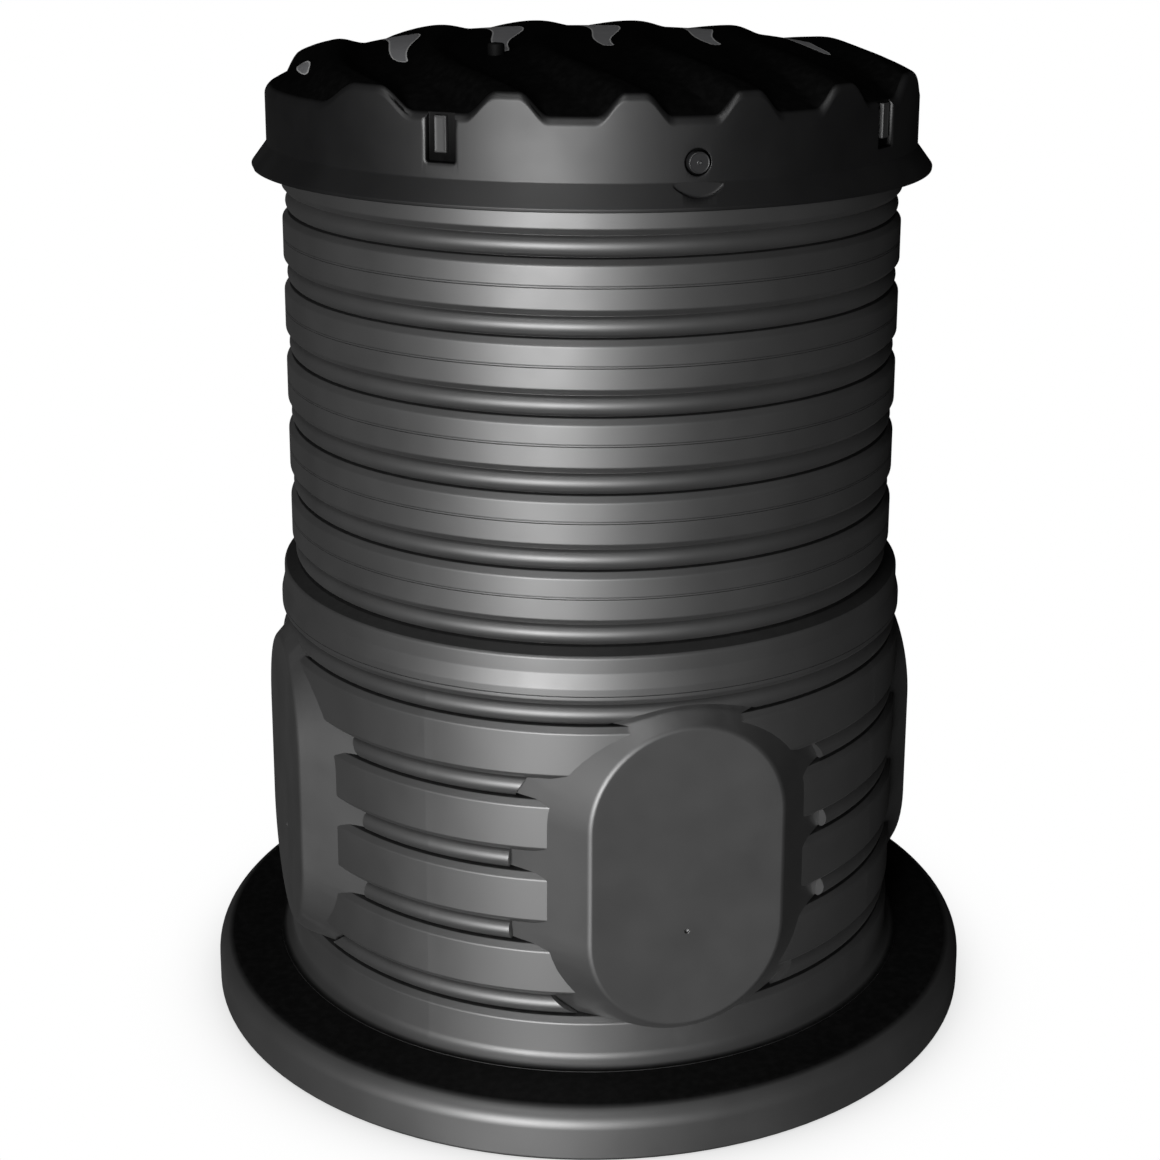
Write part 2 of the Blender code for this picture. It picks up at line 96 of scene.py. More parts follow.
@dataclass(frozen=True)
class NodeBench:
    """Wires the nodes of one material or of the world."""

    tree: bpy.types.NodeTree

    def add(self, kind: str, **settings: object) -> bpy.types.Node:
        """Adds a node.

        Args:
            kind: the node's type name, without the ShaderNode in front.
            settings: properties to set on it.

        Returns:
            The new node.
        """
        node = self.tree.nodes.new("ShaderNode" + kind)
        for key, value in settings.items():
            setattr(node, key, value)
        return node

    def feed(self, node: bpy.types.Node, name: str | int, source: object) -> None:
        """Sets an input socket to a value, or links another node's output to it.

        Args:
            node: the node that takes it.
            name: the input's name or number.
            source: a number, a tuple or an output socket.
        """
        if isinstance(source, Socket):
            self.tree.links.new(source, node.inputs[name])
        else:
            node.inputs[name].default_value = source

    def noise(self, scale: float, detail: float = 2.0, stretch: float = 1.0) -> Socket:
        """Makes a noise over the object.

        Args:
            scale: its features to the metre.
            detail: its octaves.
            stretch: how much shorter the features are upwards than around.

        Returns:
            The noise, about 0.5 on average.
        """
        mapping = self.add("Mapping")
        mapping.inputs["Scale"].default_value = (scale, scale, scale * stretch)
        self.feed(mapping, "Vector", self.add("TexCoord").outputs["Object"])
        texture = self.add("TexNoise")
        self.feed(texture, "Vector", mapping.outputs[0])
        self.feed(texture, "Scale", 1.0)
        self.feed(texture, "Detail", detail)
        return texture.outputs["Fac"]

    def spread(self, source: Socket, taken: Point, given: Point) -> Socket:
        """Maps one range of a value onto another, and clamps it there.

        Args:
            source: the value.
            taken: the range it comes in.
            given: the range it goes out in.

        Returns:
            The mapped value.
        """
        node = self.add("MapRange")
        self.feed(node, "Value", source)
        for name, value in zip(("From Min", "From Max", "To Min", "To Max"), taken + given):
            self.feed(node, name, value)
        return node.outputs["Result"]

    def sum_up(self, kind: str, first: object, second: object) -> Socket:
        """Does one sum on two values.

        Args:
            kind: the Math node's operation.
            first: a number or a socket.
            second: a number or a socket.

        Returns:
            The result.
        """
        node = self.add("Math", operation=kind)
        self.feed(node, 0, first)
        self.feed(node, 1, second)
        return node.outputs[0]

    def blend(self, share: object, first: object, second: object) -> Socket:
        """Mixes two colours.

        Args:
            share: how much of the second is in it.
            first: a colour or a socket.
            second: a colour or a socket.

        Returns:
            The mixed colour.
        """
        node = self.add("Mix", data_type="RGBA")
        for number, source in ((0, share), (6, first), (7, second)):
            self.feed(node, number, source)
        return node.outputs[2]

    def bump(
            self, height: Socket, strength: float, reach: float,
            below: Socket | None = None) -> Socket:
        """Makes a relief from a height.

        Args:
            height: the height, 0 to 1.
            strength: its strength.
            reach: the real height that 1 stands for, in metres.
            below: the normal of a relief under it.

        Returns:
            The bent normal.
        """
        node = self.add("Bump")
        self.feed(node, "Height", height)
        self.feed(node, "Strength", strength)
        self.feed(node, "Distance", reach)
        if below is not None:
            self.feed(node, "Normal", below)
        return node.outputs[0]

    def rays(self) -> tuple[Socket, Socket, Socket]:
        """Tells what a ray is for.

        Returns:
            1 for the camera's own, for a mirrored or passed one, and for a scattered one.
        """
        path = self.add("LightPath").outputs
        mirrored = self.sum_up("ADD", path["Is Glossy Ray"], path["Is Transmission Ray"])
        return path["Is Camera Ray"], mirrored, path["Is Diffuse Ray"]


def tinted(shade: float, cool: float = 1.0) -> Colour:
    """Returns a grey, with its blue turned up by a factor, as a colour with alpha."""
    return (shade, shade, shade * cool, 1.0)


@dataclass(frozen=True)
class Surface:
    """How a surface looks."""

    name: str

    def material(self) -> bpy.types.Material:
        """Makes the surface's material, once.

        Returns:
            The material.
        """
        found = bpy.data.materials.get(self.name)
        if found:
            return found
        material = bpy.data.materials.new(self.name)
        material.use_nodes = True
        self.wire(NodeBench(material.node_tree), material.node_tree.nodes["Principled BSDF"])
        return material

    def wire(self, bench: NodeBench, shader: bpy.types.Node) -> None:
        """Wires up the surface's shader.

        Args:
            bench: the bench of the material.
            shader: its shader.
        """
        raise NotImplementedError


@dataclass(frozen=True)
class Finish(Surface):
    """The look of a piece, with the body that pieces like it belong to and the name of their
    material slot.
    """

    body: Body
    slot: Slot


@dataclass(frozen=True)
class MouldedPlastic(Finish):
    """Black moulded plastic with a fine grain, a slow mottle, rubbed edges and painted shade on its
    level faces.
    """

    shade: float = 0.022
    cool: float = 1.0
    roughness: float = 0.5
    ior: float = 2.1
    mottle: float = 0.16
    speckle: float = 0.22
    speckle_gain: float = 2.2
    rubbing: float = 0.35
    rubbed_edge: Point = (0.53, 0.6)
    rubbed_gain: float = 1.9
    rubbed_lift: float = 0.004
    unevenness: float = 0.025
    softness: float = 0.0011
    swell: float = 0.25
    swell_depth: float = 0.0012
    grain: float = 0.10
    grain_depth: float = 0.0002
    painted_level_shade: float = 0.006
    level_slope: Point = (0.86, 0.98)
    level_dust: Point = (0.4, 0.75)
    gloss: Point = (0.5, 0.02)

    def wire(self, bench: NodeBench, shader: bpy.types.Node) -> None:
        """Wires up the plastic.

        Args:
            bench: the bench of the material.
            shader: its shader.
        """
        shader.inputs["IOR"].default_value = self.ior
        # The level faces are made matt, and painted shade darkens their colour.
        level = self.matt_and_painted_shade_share(bench)
        colours = self.colour(bench), self.painted_light_colour(bench)
        rough = self.roughness - self.unevenness, self.roughness + self.unevenness
        bench.feed(shader, "Base Color", bench.blend(level, *colours))
        bench.feed(shader, "Specular IOR Level", bench.spread(level, WHOLE, self.gloss))
        bench.feed(shader, "Roughness", bench.spread(bench.noise(17.0, 3.0), NOISE_RANGE, rough))
        bench.feed(shader, "Normal", self.relief(bench))

    def matt_and_painted_shade_share(self, bench: NodeBench) -> Socket:
        """Finds the level faces, which are made matt and get painted shade, a dull black.

        Args:
            bench: the bench of the material.

        Returns:
            1 on them and 0 elsewhere.
        """
        apart = bench.add("SeparateXYZ")
        bench.feed(apart, 0, bench.add("TexCoord").outputs["Normal"])
        return bench.spread(apart.outputs["Z"], self.level_slope, WHOLE)

    def painted_light_colour(self, bench: NodeBench) -> Socket:
        """Paints shade on the level faces as a dull black, with some dust.

        Args:
            bench: the bench of the material.

        Returns:
            The colour.
        """
        dust = bench.spread(bench.noise(120.0, 4.0), self.level_dust, WHOLE)
        return bench.blend(dust, tinted(self.painted_level_shade), tinted(self.painted_level_shade * 2))

    def colour(self, bench: NodeBench) -> Socket:
        """Mixes the mottle, the speckle and the rubbed edges.

        Args:
            bench: the bench of the material.

        Returns:
            The base colour.
        """
        cloud = bench.spread(bench.noise(5.0, 4.0, 0.6), NOISE_RANGE, WHOLE)
        ground = bench.blend(cloud, *(
            tinted(self.shade * (1.0 + part), self.cool) for part in (-self.mottle, self.mottle)))
        speckle = bench.spread(bench.noise(700.0, 1.0), (0.66, 0.8), (0.0, self.speckle))
        ground = bench.blend(speckle, ground, tinted(self.shade * self.speckle_gain, self.cool))
        edge = bench.spread(
            bench.add("NewGeometry").outputs["Pointiness"], self.rubbed_edge, WHOLE)
        patchy = bench.spread(bench.noise(60.0, 3.0), (0.35, 0.65), (0.0, self.rubbing))
        rubbed = tinted(self.shade * self.rubbed_gain + self.rubbed_lift, self.cool)
        return bench.blend(bench.sum_up("MULTIPLY", edge, patchy), ground, rubbed)

    def relief(self, bench: NodeBench) -> Socket:
        """Lays the fine grain over the slow unevenness of a thick moulded wall.

        Args:
            bench: the bench of the material.

        Returns:
            The bent normal.
        """
        edges = None
        if self.softness > 0:
            soft = bench.add("Bevel", samples=4)
            bench.feed(soft, "Radius", self.softness)
            edges = soft.outputs[0]
        slow = bench.bump(bench.noise(9.0, 1.0), self.swell, self.swell_depth, edges)
        return bench.bump(bench.noise(1300.0), self.grain, self.grain_depth, slow)


@dataclass(frozen=True)
class LidPlastic(MouldedPlastic):
    """The lid's plastic, with painted shade on its matt top and a paler painted sheen patch on the
    floor of each valley.
    """

    painted_level_shade: float = 0.0015
    painted_sheen_shade: float = 0.21
    painted_sheen_cool: float = 1.03
    painted_sheen_mottle: float = 0.06
    painted_sheen_fade: Point = (-0.0002, 0.0002)
    painted_highlight_shade: float = 0.42
    painted_highlight_fade: Point = (0.0005, 0.0010)

    def matt_and_painted_shade_share(self, bench: NodeBench) -> Socket:
        """Finds the lid's textured top and the insides of its sunk recesses, which are matt and get
        painted shade all over.

        Args:
            bench: the bench of the material.

        Returns:
            1 on it and 0 elsewhere.
        """
        return bench.add("Attribute", attribute_name=TOP_PAINTED_SHADE).outputs["Fac"]

    def painted_light_colour(self, bench: NodeBench) -> Socket:
        """Lays the painted sheen patches and their thin painted highlight outline over the top's
        painted shade, a dull black.

        Args:
            bench: the bench of the material.

        Returns:
            The colour.
        """
        ground = super().painted_light_colour(bench)
        beyond = bench.add("Attribute", attribute_name=PAINTED_SHEEN_EDGE).outputs["Fac"]
        cloud = bench.spread(bench.noise(30.0, 4.0), NOISE_RANGE, WHOLE)
        # Painted sheen: paler grey patches on the valley floors.
        painted_sheen_colour = bench.blend(cloud, *(
            tinted(self.painted_sheen_shade * (1 + part), self.painted_sheen_cool)
            for part in (-self.painted_sheen_mottle, self.painted_sheen_mottle)))
        inside = bench.spread(beyond, self.painted_sheen_fade, WHOLE[::-1])
        ground = bench.blend(inside, ground, painted_sheen_colour)
        # A thin painted highlight follows each patch's outline.
        away = bench.sum_up("ABSOLUTE", beyond, 0.0)
        line = bench.spread(away, self.painted_highlight_fade, WHOLE[::-1])
        return bench.blend(line, ground, tinted(self.painted_highlight_shade))


@dataclass(frozen=True)
class SealRubber(Finish):
    """Soft matt rubber, dusty in its pores."""

    shade: float = 0.014
    dust_shade: float = 0.056
    roughness: Point = (0.74, 0.86)
    pores: float = 0.2
    pore_depth: float = 0.0003

    def wire(self, bench: NodeBench, shader: bpy.types.Node) -> None:
        """Wires up the rubber.

        Args:
            bench: the bench of the material.
            shader: its shader.
        """
        dust = bench.spread(bench.noise(90.0, 5.0), (0.45, 0.75), (0.0, 0.5))
        relief = bench.bump(bench.noise(900.0, 3.0), self.pores, self.pore_depth)
        for name, source in (
                ("Base Color", bench.blend(dust, tinted(self.shade), tinted(self.dust_shade))),
                ("Roughness", bench.spread(bench.noise(200.0), NOISE_RANGE, self.roughness)),
                ("Normal", relief)):
            bench.feed(shader, name, source)


@dataclass(frozen=True)
class PaleFloor(Surface):
    """A glowing floor for the camera, with a soft shadow, that other rays see as near black."""

    shade: float = 0.02
    roughness: float = 0.9
    shadow_reach: float = 0.12
    shadow_spread: Point = (0.35, 0.95)
    glow: Point = (0.72, 1.0)
    glint: float = 0.003

    def wire(self, bench: NodeBench, shader: bpy.types.Node) -> None:
        """Wires up the floor.

        Args:
            bench: the bench of the material.
            shader: its shader.
        """
        for name, value in (
                ("Base Color", tinted(self.shade)), ("Roughness", self.roughness),
                ("Specular IOR Level", 0.0)):
            bench.feed(shader, name, value)
        camera, mirrored, _ = bench.rays()
        shadow = bench.add("AmbientOcclusion", samples=16)
        bench.feed(shadow, "Distance", self.shadow_reach)
        pale = bench.spread(shadow.outputs["AO"], self.shadow_spread, self.glow)
        glow = bench.add("Emission")
        seen = bench.sum_up("MULTIPLY", mirrored, self.glint)
        shown = bench.sum_up("MULTIPLY", camera, pale)
        bench.feed(glow, "Strength", bench.sum_up("ADD", shown, seen))
        both = bench.add("AddShader")
        bench.feed(both, 0, shader.outputs[0])
        bench.feed(both, 1, glow.outputs[0])
        mix = bench.add("MixShader")
        for name, source in (("Fac", camera), (1, both.outputs[0]), (2, glow.outputs[0])):
            bench.feed(mix, name, source)
        bench.feed(bench.tree.nodes["Material Output"], "Surface", mix.outputs[0])


# Point attributes of the lid: the way out of each painted sheen patch, and the share of matt
# painted shade.
PAINTED_SHEEN_EDGE = "painted_sheen_edge"
TOP_PAINTED_SHADE = "top_matt_painted_shade"
ON_TANK, ON_LID = (Body.TANK, Slot.TANK), (Body.LID, Slot.FITTING)
TANK_FINISH = MouldedPlastic("Tank_polyethylene", *ON_TANK)
CHAMBER_FINISH = MouldedPlastic("Chamber_polyethylene", *ON_TANK, softness=0.0)
INSIDE_FINISH = MouldedPlastic(
    "Tank_floor_polyethylene", *ON_TANK, shade=0.03, roughness=0.6, ior=1.7)
SEAL_FINISH = SealRubber("Seal_rubber", Body.TANK, Slot.SEAL)
LID_FINISH = LidPlastic(
    "Lid_polypropylene", Body.LID, Slot.LID, shade=0.002, cool=1.1, ior=1.62)
LATCH_FINISH = MouldedPlastic("Latch_nylon", *ON_LID, shade=0.030, ior=1.6)
LOCK_FINISH = MouldedPlastic(
    "Lock_nylon", *ON_LID, shade=0.012, cool=1.05, roughness=0.45, ior=1.6)
VENT_FINISH = MouldedPlastic("Vent_plug_nylon", *ON_LID, shade=0.0015, roughness=0.7, ior=1.2)


def rounded(corners: list[Corner], steps: int = 5) -> list[Point]:
    """Rounds the corners of a closed outline.

    Args:
        corners: each corner and the radius of its rounding, 0 for a sharp one.
        steps: the straight steps in each rounding.

    Returns:
        The points of the outline.
    """
    points = []
    count = len(corners)
    for i, (x, y, radius) in enumerate(corners):
        here = Vector((x, y))
        back = Vector(corners[i - 1][:2]) - here
        ahead = Vector(corners[(i + 1) % count][:2]) - here
        room = 0.48 * min(back.length, ahead.length)
        turn = math.pi - back.angle(ahead) if room > 0 else 0.0
        if radius <= 0 or turn < 0.02:
            points.append((x, y))
            continue
        reach = min(radius * math.tan(turn / 2), room)
        radius = reach / math.tan(turn / 2)
        middle = here + (back.normalized() + ahead.normalized()).normalized() * (
            radius / math.cos(turn / 2))
        first = here + back.normalized() * reach - middle
        last = here + ahead.normalized() * reach - middle
        for k in range(steps + 1):
            share = k / steps
            mixed = (
                first * math.sin((1 - share) * turn) + last * math.sin(share * turn)
            ) / math.sin(turn)
            points.append((middle.x + mixed.x, middle.y + mixed.y))
    return points


def arc_points(
        centre: Point, radius: float, first: float, last: float, steps: int) -> list[Corner]:
    """Points of an arc as sharp corners.

    Args:
        centre: its centre.
        radius: its radius.
        first: its first angle in degrees.
        last: its last angle in degrees.
        steps: the straight steps in it.

    Returns:
        The corners.
    """
    angles = np.radians(np.linspace(first, last, steps + 1))
    return [
        (centre[0] + radius * math.cos(a), centre[1] + radius * math.sin(a), 0.0)
        for a in angles
    ]


def halved(
        low: np.ndarray, high: np.ndarray, short: Callable[[np.ndarray], np.ndarray],
        steps: int = 40) -> tuple[np.ndarray, np.ndarray]:
    """Closes ranges in on the places where a test stops holding, by halving them.

    Args:
        low: where the test holds.
        high: where it doesn't.
        short: the test, for one place in each range.
        steps: how often they are halved.

    Returns:
        The low and the high ends of the narrow ranges.
    """
    for _ in range(steps):
        middle = (low + high) / 2
        held = short(middle)
        low, high = np.where(held, middle, low), np.where(held, high, middle)
    return low, high


def make_object(name: str, points: np.ndarray, faces: list, weld: float = 0.0) -> Solid:
    """Makes a mesh object with its faces turned outwards.

    Args:
        name: the piece's name.
        points: its points, one row each.
        faces: its faces as lists of point numbers.
        weld: points closer than this become one.

    Returns:
        The object.
    """
    mesh = bpy.data.meshes.new(name)
    mesh.from_pydata(np.asarray(points).tolist(), [], faces)
    bm = bmesh.new()
    bm.from_mesh(mesh)
    if weld:
        bmesh.ops.remove_doubles(bm, verts=bm.verts, dist=weld)
    bmesh.ops.recalc_face_normals(bm, faces=bm.faces)
    bm.to_mesh(mesh)
    bm.free()
    obj = bpy.data.objects.new(name, mesh)
    bpy.context.scene.collection.objects.link(obj)
    return obj


def turned(
        name: str, outline: list[Point], segments: int = 144,
        start: float = 0.0, sweep: float = 2 * math.pi) -> Solid:
    """Turns a closed outline of radius and height about Z.

    Args:
        name: the piece's name.
        outline: its points.
        segments: the steps of the turn.
        start: the first angle, from +X.
        sweep: the angle turned through; a part turn gets end faces.

    Returns:
        The object.
    """
    whole = sweep > 2 * math.pi - 1e-6
    angles = start + np.linspace(0.0, sweep, segments + 1)
    if whole:
        angles = angles[:-1]
    shape = np.array(outline)
    columns = len(angles)
    count = len(shape)
    points = np.empty((columns, count, 3))
    points[..., 0] = np.cos(angles)[:, None] * shape[None, :, 0]
    points[..., 1] = np.sin(angles)[:, None] * shape[None, :, 0]
    points[..., 2] = shape[None, :, 1]
    faces = []
    for i in range(columns if whole else columns - 1):
        j = (i + 1) % columns
        for k in range(count):
            m = (k + 1) % count
            faces.append((i * count + k, j * count + k, j * count + m, i * count + m))
    if not whole:
        faces.append(tuple(range(count)))
        faces.append(tuple(range((columns - 1) * count, columns * count)))
    weld = 1e-7 if shape[:, 0].min() < 1e-6 else 0.0
    return make_object(name, points.reshape(-1, 3), faces, weld)


def lofted(name: str, loops: list[np.ndarray]) -> Solid:
    """Joins level loops of equal length into a closed solid.

    Args:
        name: the piece's name.
        loops: each loop's points, one row each.

    Returns:
        The object.
    """
    count = len(loops[0])
    faces = []
    for i in range(len(loops) - 1):
        for k in range(count):
            m = (k + 1) % count
            faces.append((i * count + k, i * count + m, (i + 1) * count + m, (i + 1) * count + k))
    faces.append(tuple(range(count)))
    faces.append(tuple(range((len(loops) - 1) * count, len(loops) * count)))
    return make_object(name, np.concatenate(loops), faces)


def work_in(obj: Solid, other: Solid, join: Join) -> None:
    """Joins a solid to a piece, or cuts it out, and keeps the result as its mesh.

    Args:
        obj: the piece.
        other: the other solid, which is used up.
        join: how it is worked in.
    """
    modifier = obj.modifiers.new(join.name, "BOOLEAN")
    modifier.operation = join.value
    modifier.solver = "EXACT"
    modifier.object = other
    graph = bpy.context.evaluated_depsgraph_get()
    shape = bpy.data.meshes.new_from_object(obj.evaluated_get(graph))
    obj.modifiers.clear()
    obj.data = shape
    bpy.data.objects.remove(other, do_unlink=True)


def fit(obj: Solid, finish: Finish, *nodes: str, angle: float = 38.0) -> None:
    """Shades a piece smooth with its flat faces flat, and puts it in its nodes' place.

    Args:
        obj: the piece.
        finish: its finish.
        nodes: the nodes that it replaces.
        angle: edges sharper than this stay sharp, in degrees.
    """
    obj.data.shade_smooth()
    obj.data.set_sharp_from_angle(angle=math.radians(angle))
    weighted = obj.modifiers.new("Flat_faces", "WEIGHTED_NORMAL")
    weighted.keep_sharp = True
    weighted.weight = 50
    obj.data.materials.clear()
    obj.data.materials.append(finish.material())
    body, slot = finish.body, finish.slot
    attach(obj, body.value)
    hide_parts(*nodes)
    log.info("%s: %d faces, for %s", obj.name, len(obj.data.polygons), ", ".join(nodes))


def aimed(obj: Solid, radius: float, angle: float, height: float) -> None:
    """Turns a piece made about Z so that it points outwards from the tank's side.

    Args:
        obj: the piece.
        radius: how far out its own origin goes.
        angle: its angle from the front, in degrees.
        height: the height of its axis.
    """
    turn = Matrix.Rotation(math.radians(angle), 4, "Z")
    shift = Matrix.Translation((0.0, -radius, height))
    obj.data.transform(turn @ shift @ Matrix.Rotation(math.pi / 2, 4, "X"))


@dataclass
class Groove:
    """One groove of the ribbed wall, filled by a rounded bead."""

    depth: float = 0.013
    mouth: float = 0.035
    floor: float = 0.027
    bead_drop: float = 0.0035
    bead_radius: float = 0.0115
    bead_half: float = 0.0105
    cheek_depth: float = 0.0055
    cheek_half: float = 0.0118
    pocket_depth: float = 0.0195
    pocket_half: float = 0.0085
    bead_stop: float = 0.0135
    spare: float = 0.0001
    lip: float = 0.004
    corner: float = 0.003
    inner_round: float = 0.004
    overcut: float = 0.01
    wall: float = WALL

    def outside(self, radius: float, height: float, lower: float | None = None) -> list[Corner]:
        """Makes the groove's outer corners, from below to above.

        Args:
            radius: the wall's radius.
            height: the height of the groove's middle.
            lower: the radius of the wall below it, where that differs.

        Returns:
            The corners.
        """
        reach = math.degrees(math.asin(self.bead_half / self.bead_radius))
        centre = (radius - self.bead_drop - self.bead_radius, height)
        below = radius if lower is None else lower
        cheek = radius - self.cheek_depth
        return [
            (below, height - self.mouth / 2, self.lip),
            (cheek, height - self.cheek_half, self.corner),
            *arc_points(centre, self.bead_radius, -reach, reach, 16),
            (cheek, height + self.cheek_half, self.corner),
            (radius, height + self.mouth / 2, self.lip),
        ]

    def pocket(self, radius: float, height: float) -> list[Point]:
        """Makes the section of the groove where the bead is left out of it.

        Args:
            radius: the wall's radius.
            height: the height of the groove's middle.

        Returns:
            The points.
        """
        half = [
            (radius + self.overcut, (self.mouth + self.overcut) / 2),
            (radius - self.cheek_depth, self.cheek_half - self.spare),
            (radius - self.pocket_depth, self.pocket_half),
        ]
        low = [(r, height - z) for r, z in half]
        return low + [(r, height + z) for r, z in reversed(half)]

    def inside(self, radius: float, height: float) -> list[Corner]:
        """Makes the inner corners behind the groove, from above to below.

        Args:
            radius: the wall's outer radius.
            height: the height of the groove's middle.

        Returns:
            The corners.
        """
        bow = (self.mouth + self.floor) / 4 + self.wall / 4
        skin = radius - self.wall
        behind = radius - self.depth - self.wall
        reach = self.floor / 2 + self.wall / 2
        return [
            (skin, height + bow + self.wall / 2, self.inner_round),
            (behind, height + reach, self.inner_round),
            (behind, height - reach, self.inner_round),
            (skin, height - bow - self.wall / 2, self.inner_round),
        ]


@dataclass
class CutLine:
    """The fine lines between two rings, where the neck is sawn to length."""

    pair: float = 0.0021
    width: float = 0.0008
    depth: float = 0.0008
    edge: float = 0.0004

    def above(self, radius: float, foot: float) -> list[Corner]:
        """Makes the second line's corners, just above a ring's foot.

        Args:
            radius: the ring's radius.
            foot: the height of its foot.

        Returns:
            The corners, from below to above.
        """
        middle = foot + self.pair
        return [
            (radius, middle - self.width / 2, 0.0),
            (radius - self.depth, middle, 0.0),
            (radius, middle + self.width / 2, 0.0),
        ]


@dataclass
class Foot:
    """The hollow foot ring that the backfill holds down, and the floor in it."""

    round_edge: float = 0.021
    inner_round: float = 0.003
    toe: float = 0.004
    wall: float = WALL
    gap: float = 0.0003
    sump: tuple[float, ...] = (0.62, 0.60, 0.30, 0.28)
    sump_step: float = 0.0012
    sump_round: float = 0.001
    chamber_radius: float = CHAMBER_RADIUS

    def build(self) -> None:
        """Makes the foot ring and the floor."""
        _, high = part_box("foot_ring")
        radius, top = high.x, high.z
        floor_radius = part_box("tank_floor")[1].x
        self.ring(radius, top, floor_radius + self.gap)
        self.floor(floor_radius)

    def ring(self, radius: float, top: float, inner: float) -> None:
        """Makes the ring.

        Args:
            radius: its outer radius.
            top: the height of its top face.
            inner: the radius of its inner edge at the ground.
        """
        edge = self.chamber_radius - self.wall
        outline = rounded([
            (inner, 0.0, 0.0),
            (radius, 0.0, self.toe),
            (radius, top, self.round_edge),
            (edge, top, 0.0),
            (edge, top - self.wall, 0.0),
            (radius - self.wall, top - self.wall, self.round_edge - self.wall),
            (radius - self.wall, self.wall, self.inner_round),
            (inner, self.wall, 0.0),
        ], 10)
        piece = turned("foot_moulding", outline)
        fit(piece, TANK_FINISH, "foot_ring")

    def floor(self, radius: float) -> None:
        """Makes the floor disc, with a shallow sump and a raised ring inside.

        Args:
            radius: its radius.
        """
        high = self.wall
        low = high - self.sump_step
        outline = rounded([
            (0.0, 0.0, 0.0), (radius, 0.0, 0.0), (radius, high, 0.0),
            *((radius * share, level, self.sump_round)
              for share, level in zip(self.sump, (high, low, low, high))),
            (0.0, high, 0.0)], 3)
        piece = turned("floor_moulding", outline)
        fit(piece, INSIDE_FINISH, "tank_floor")


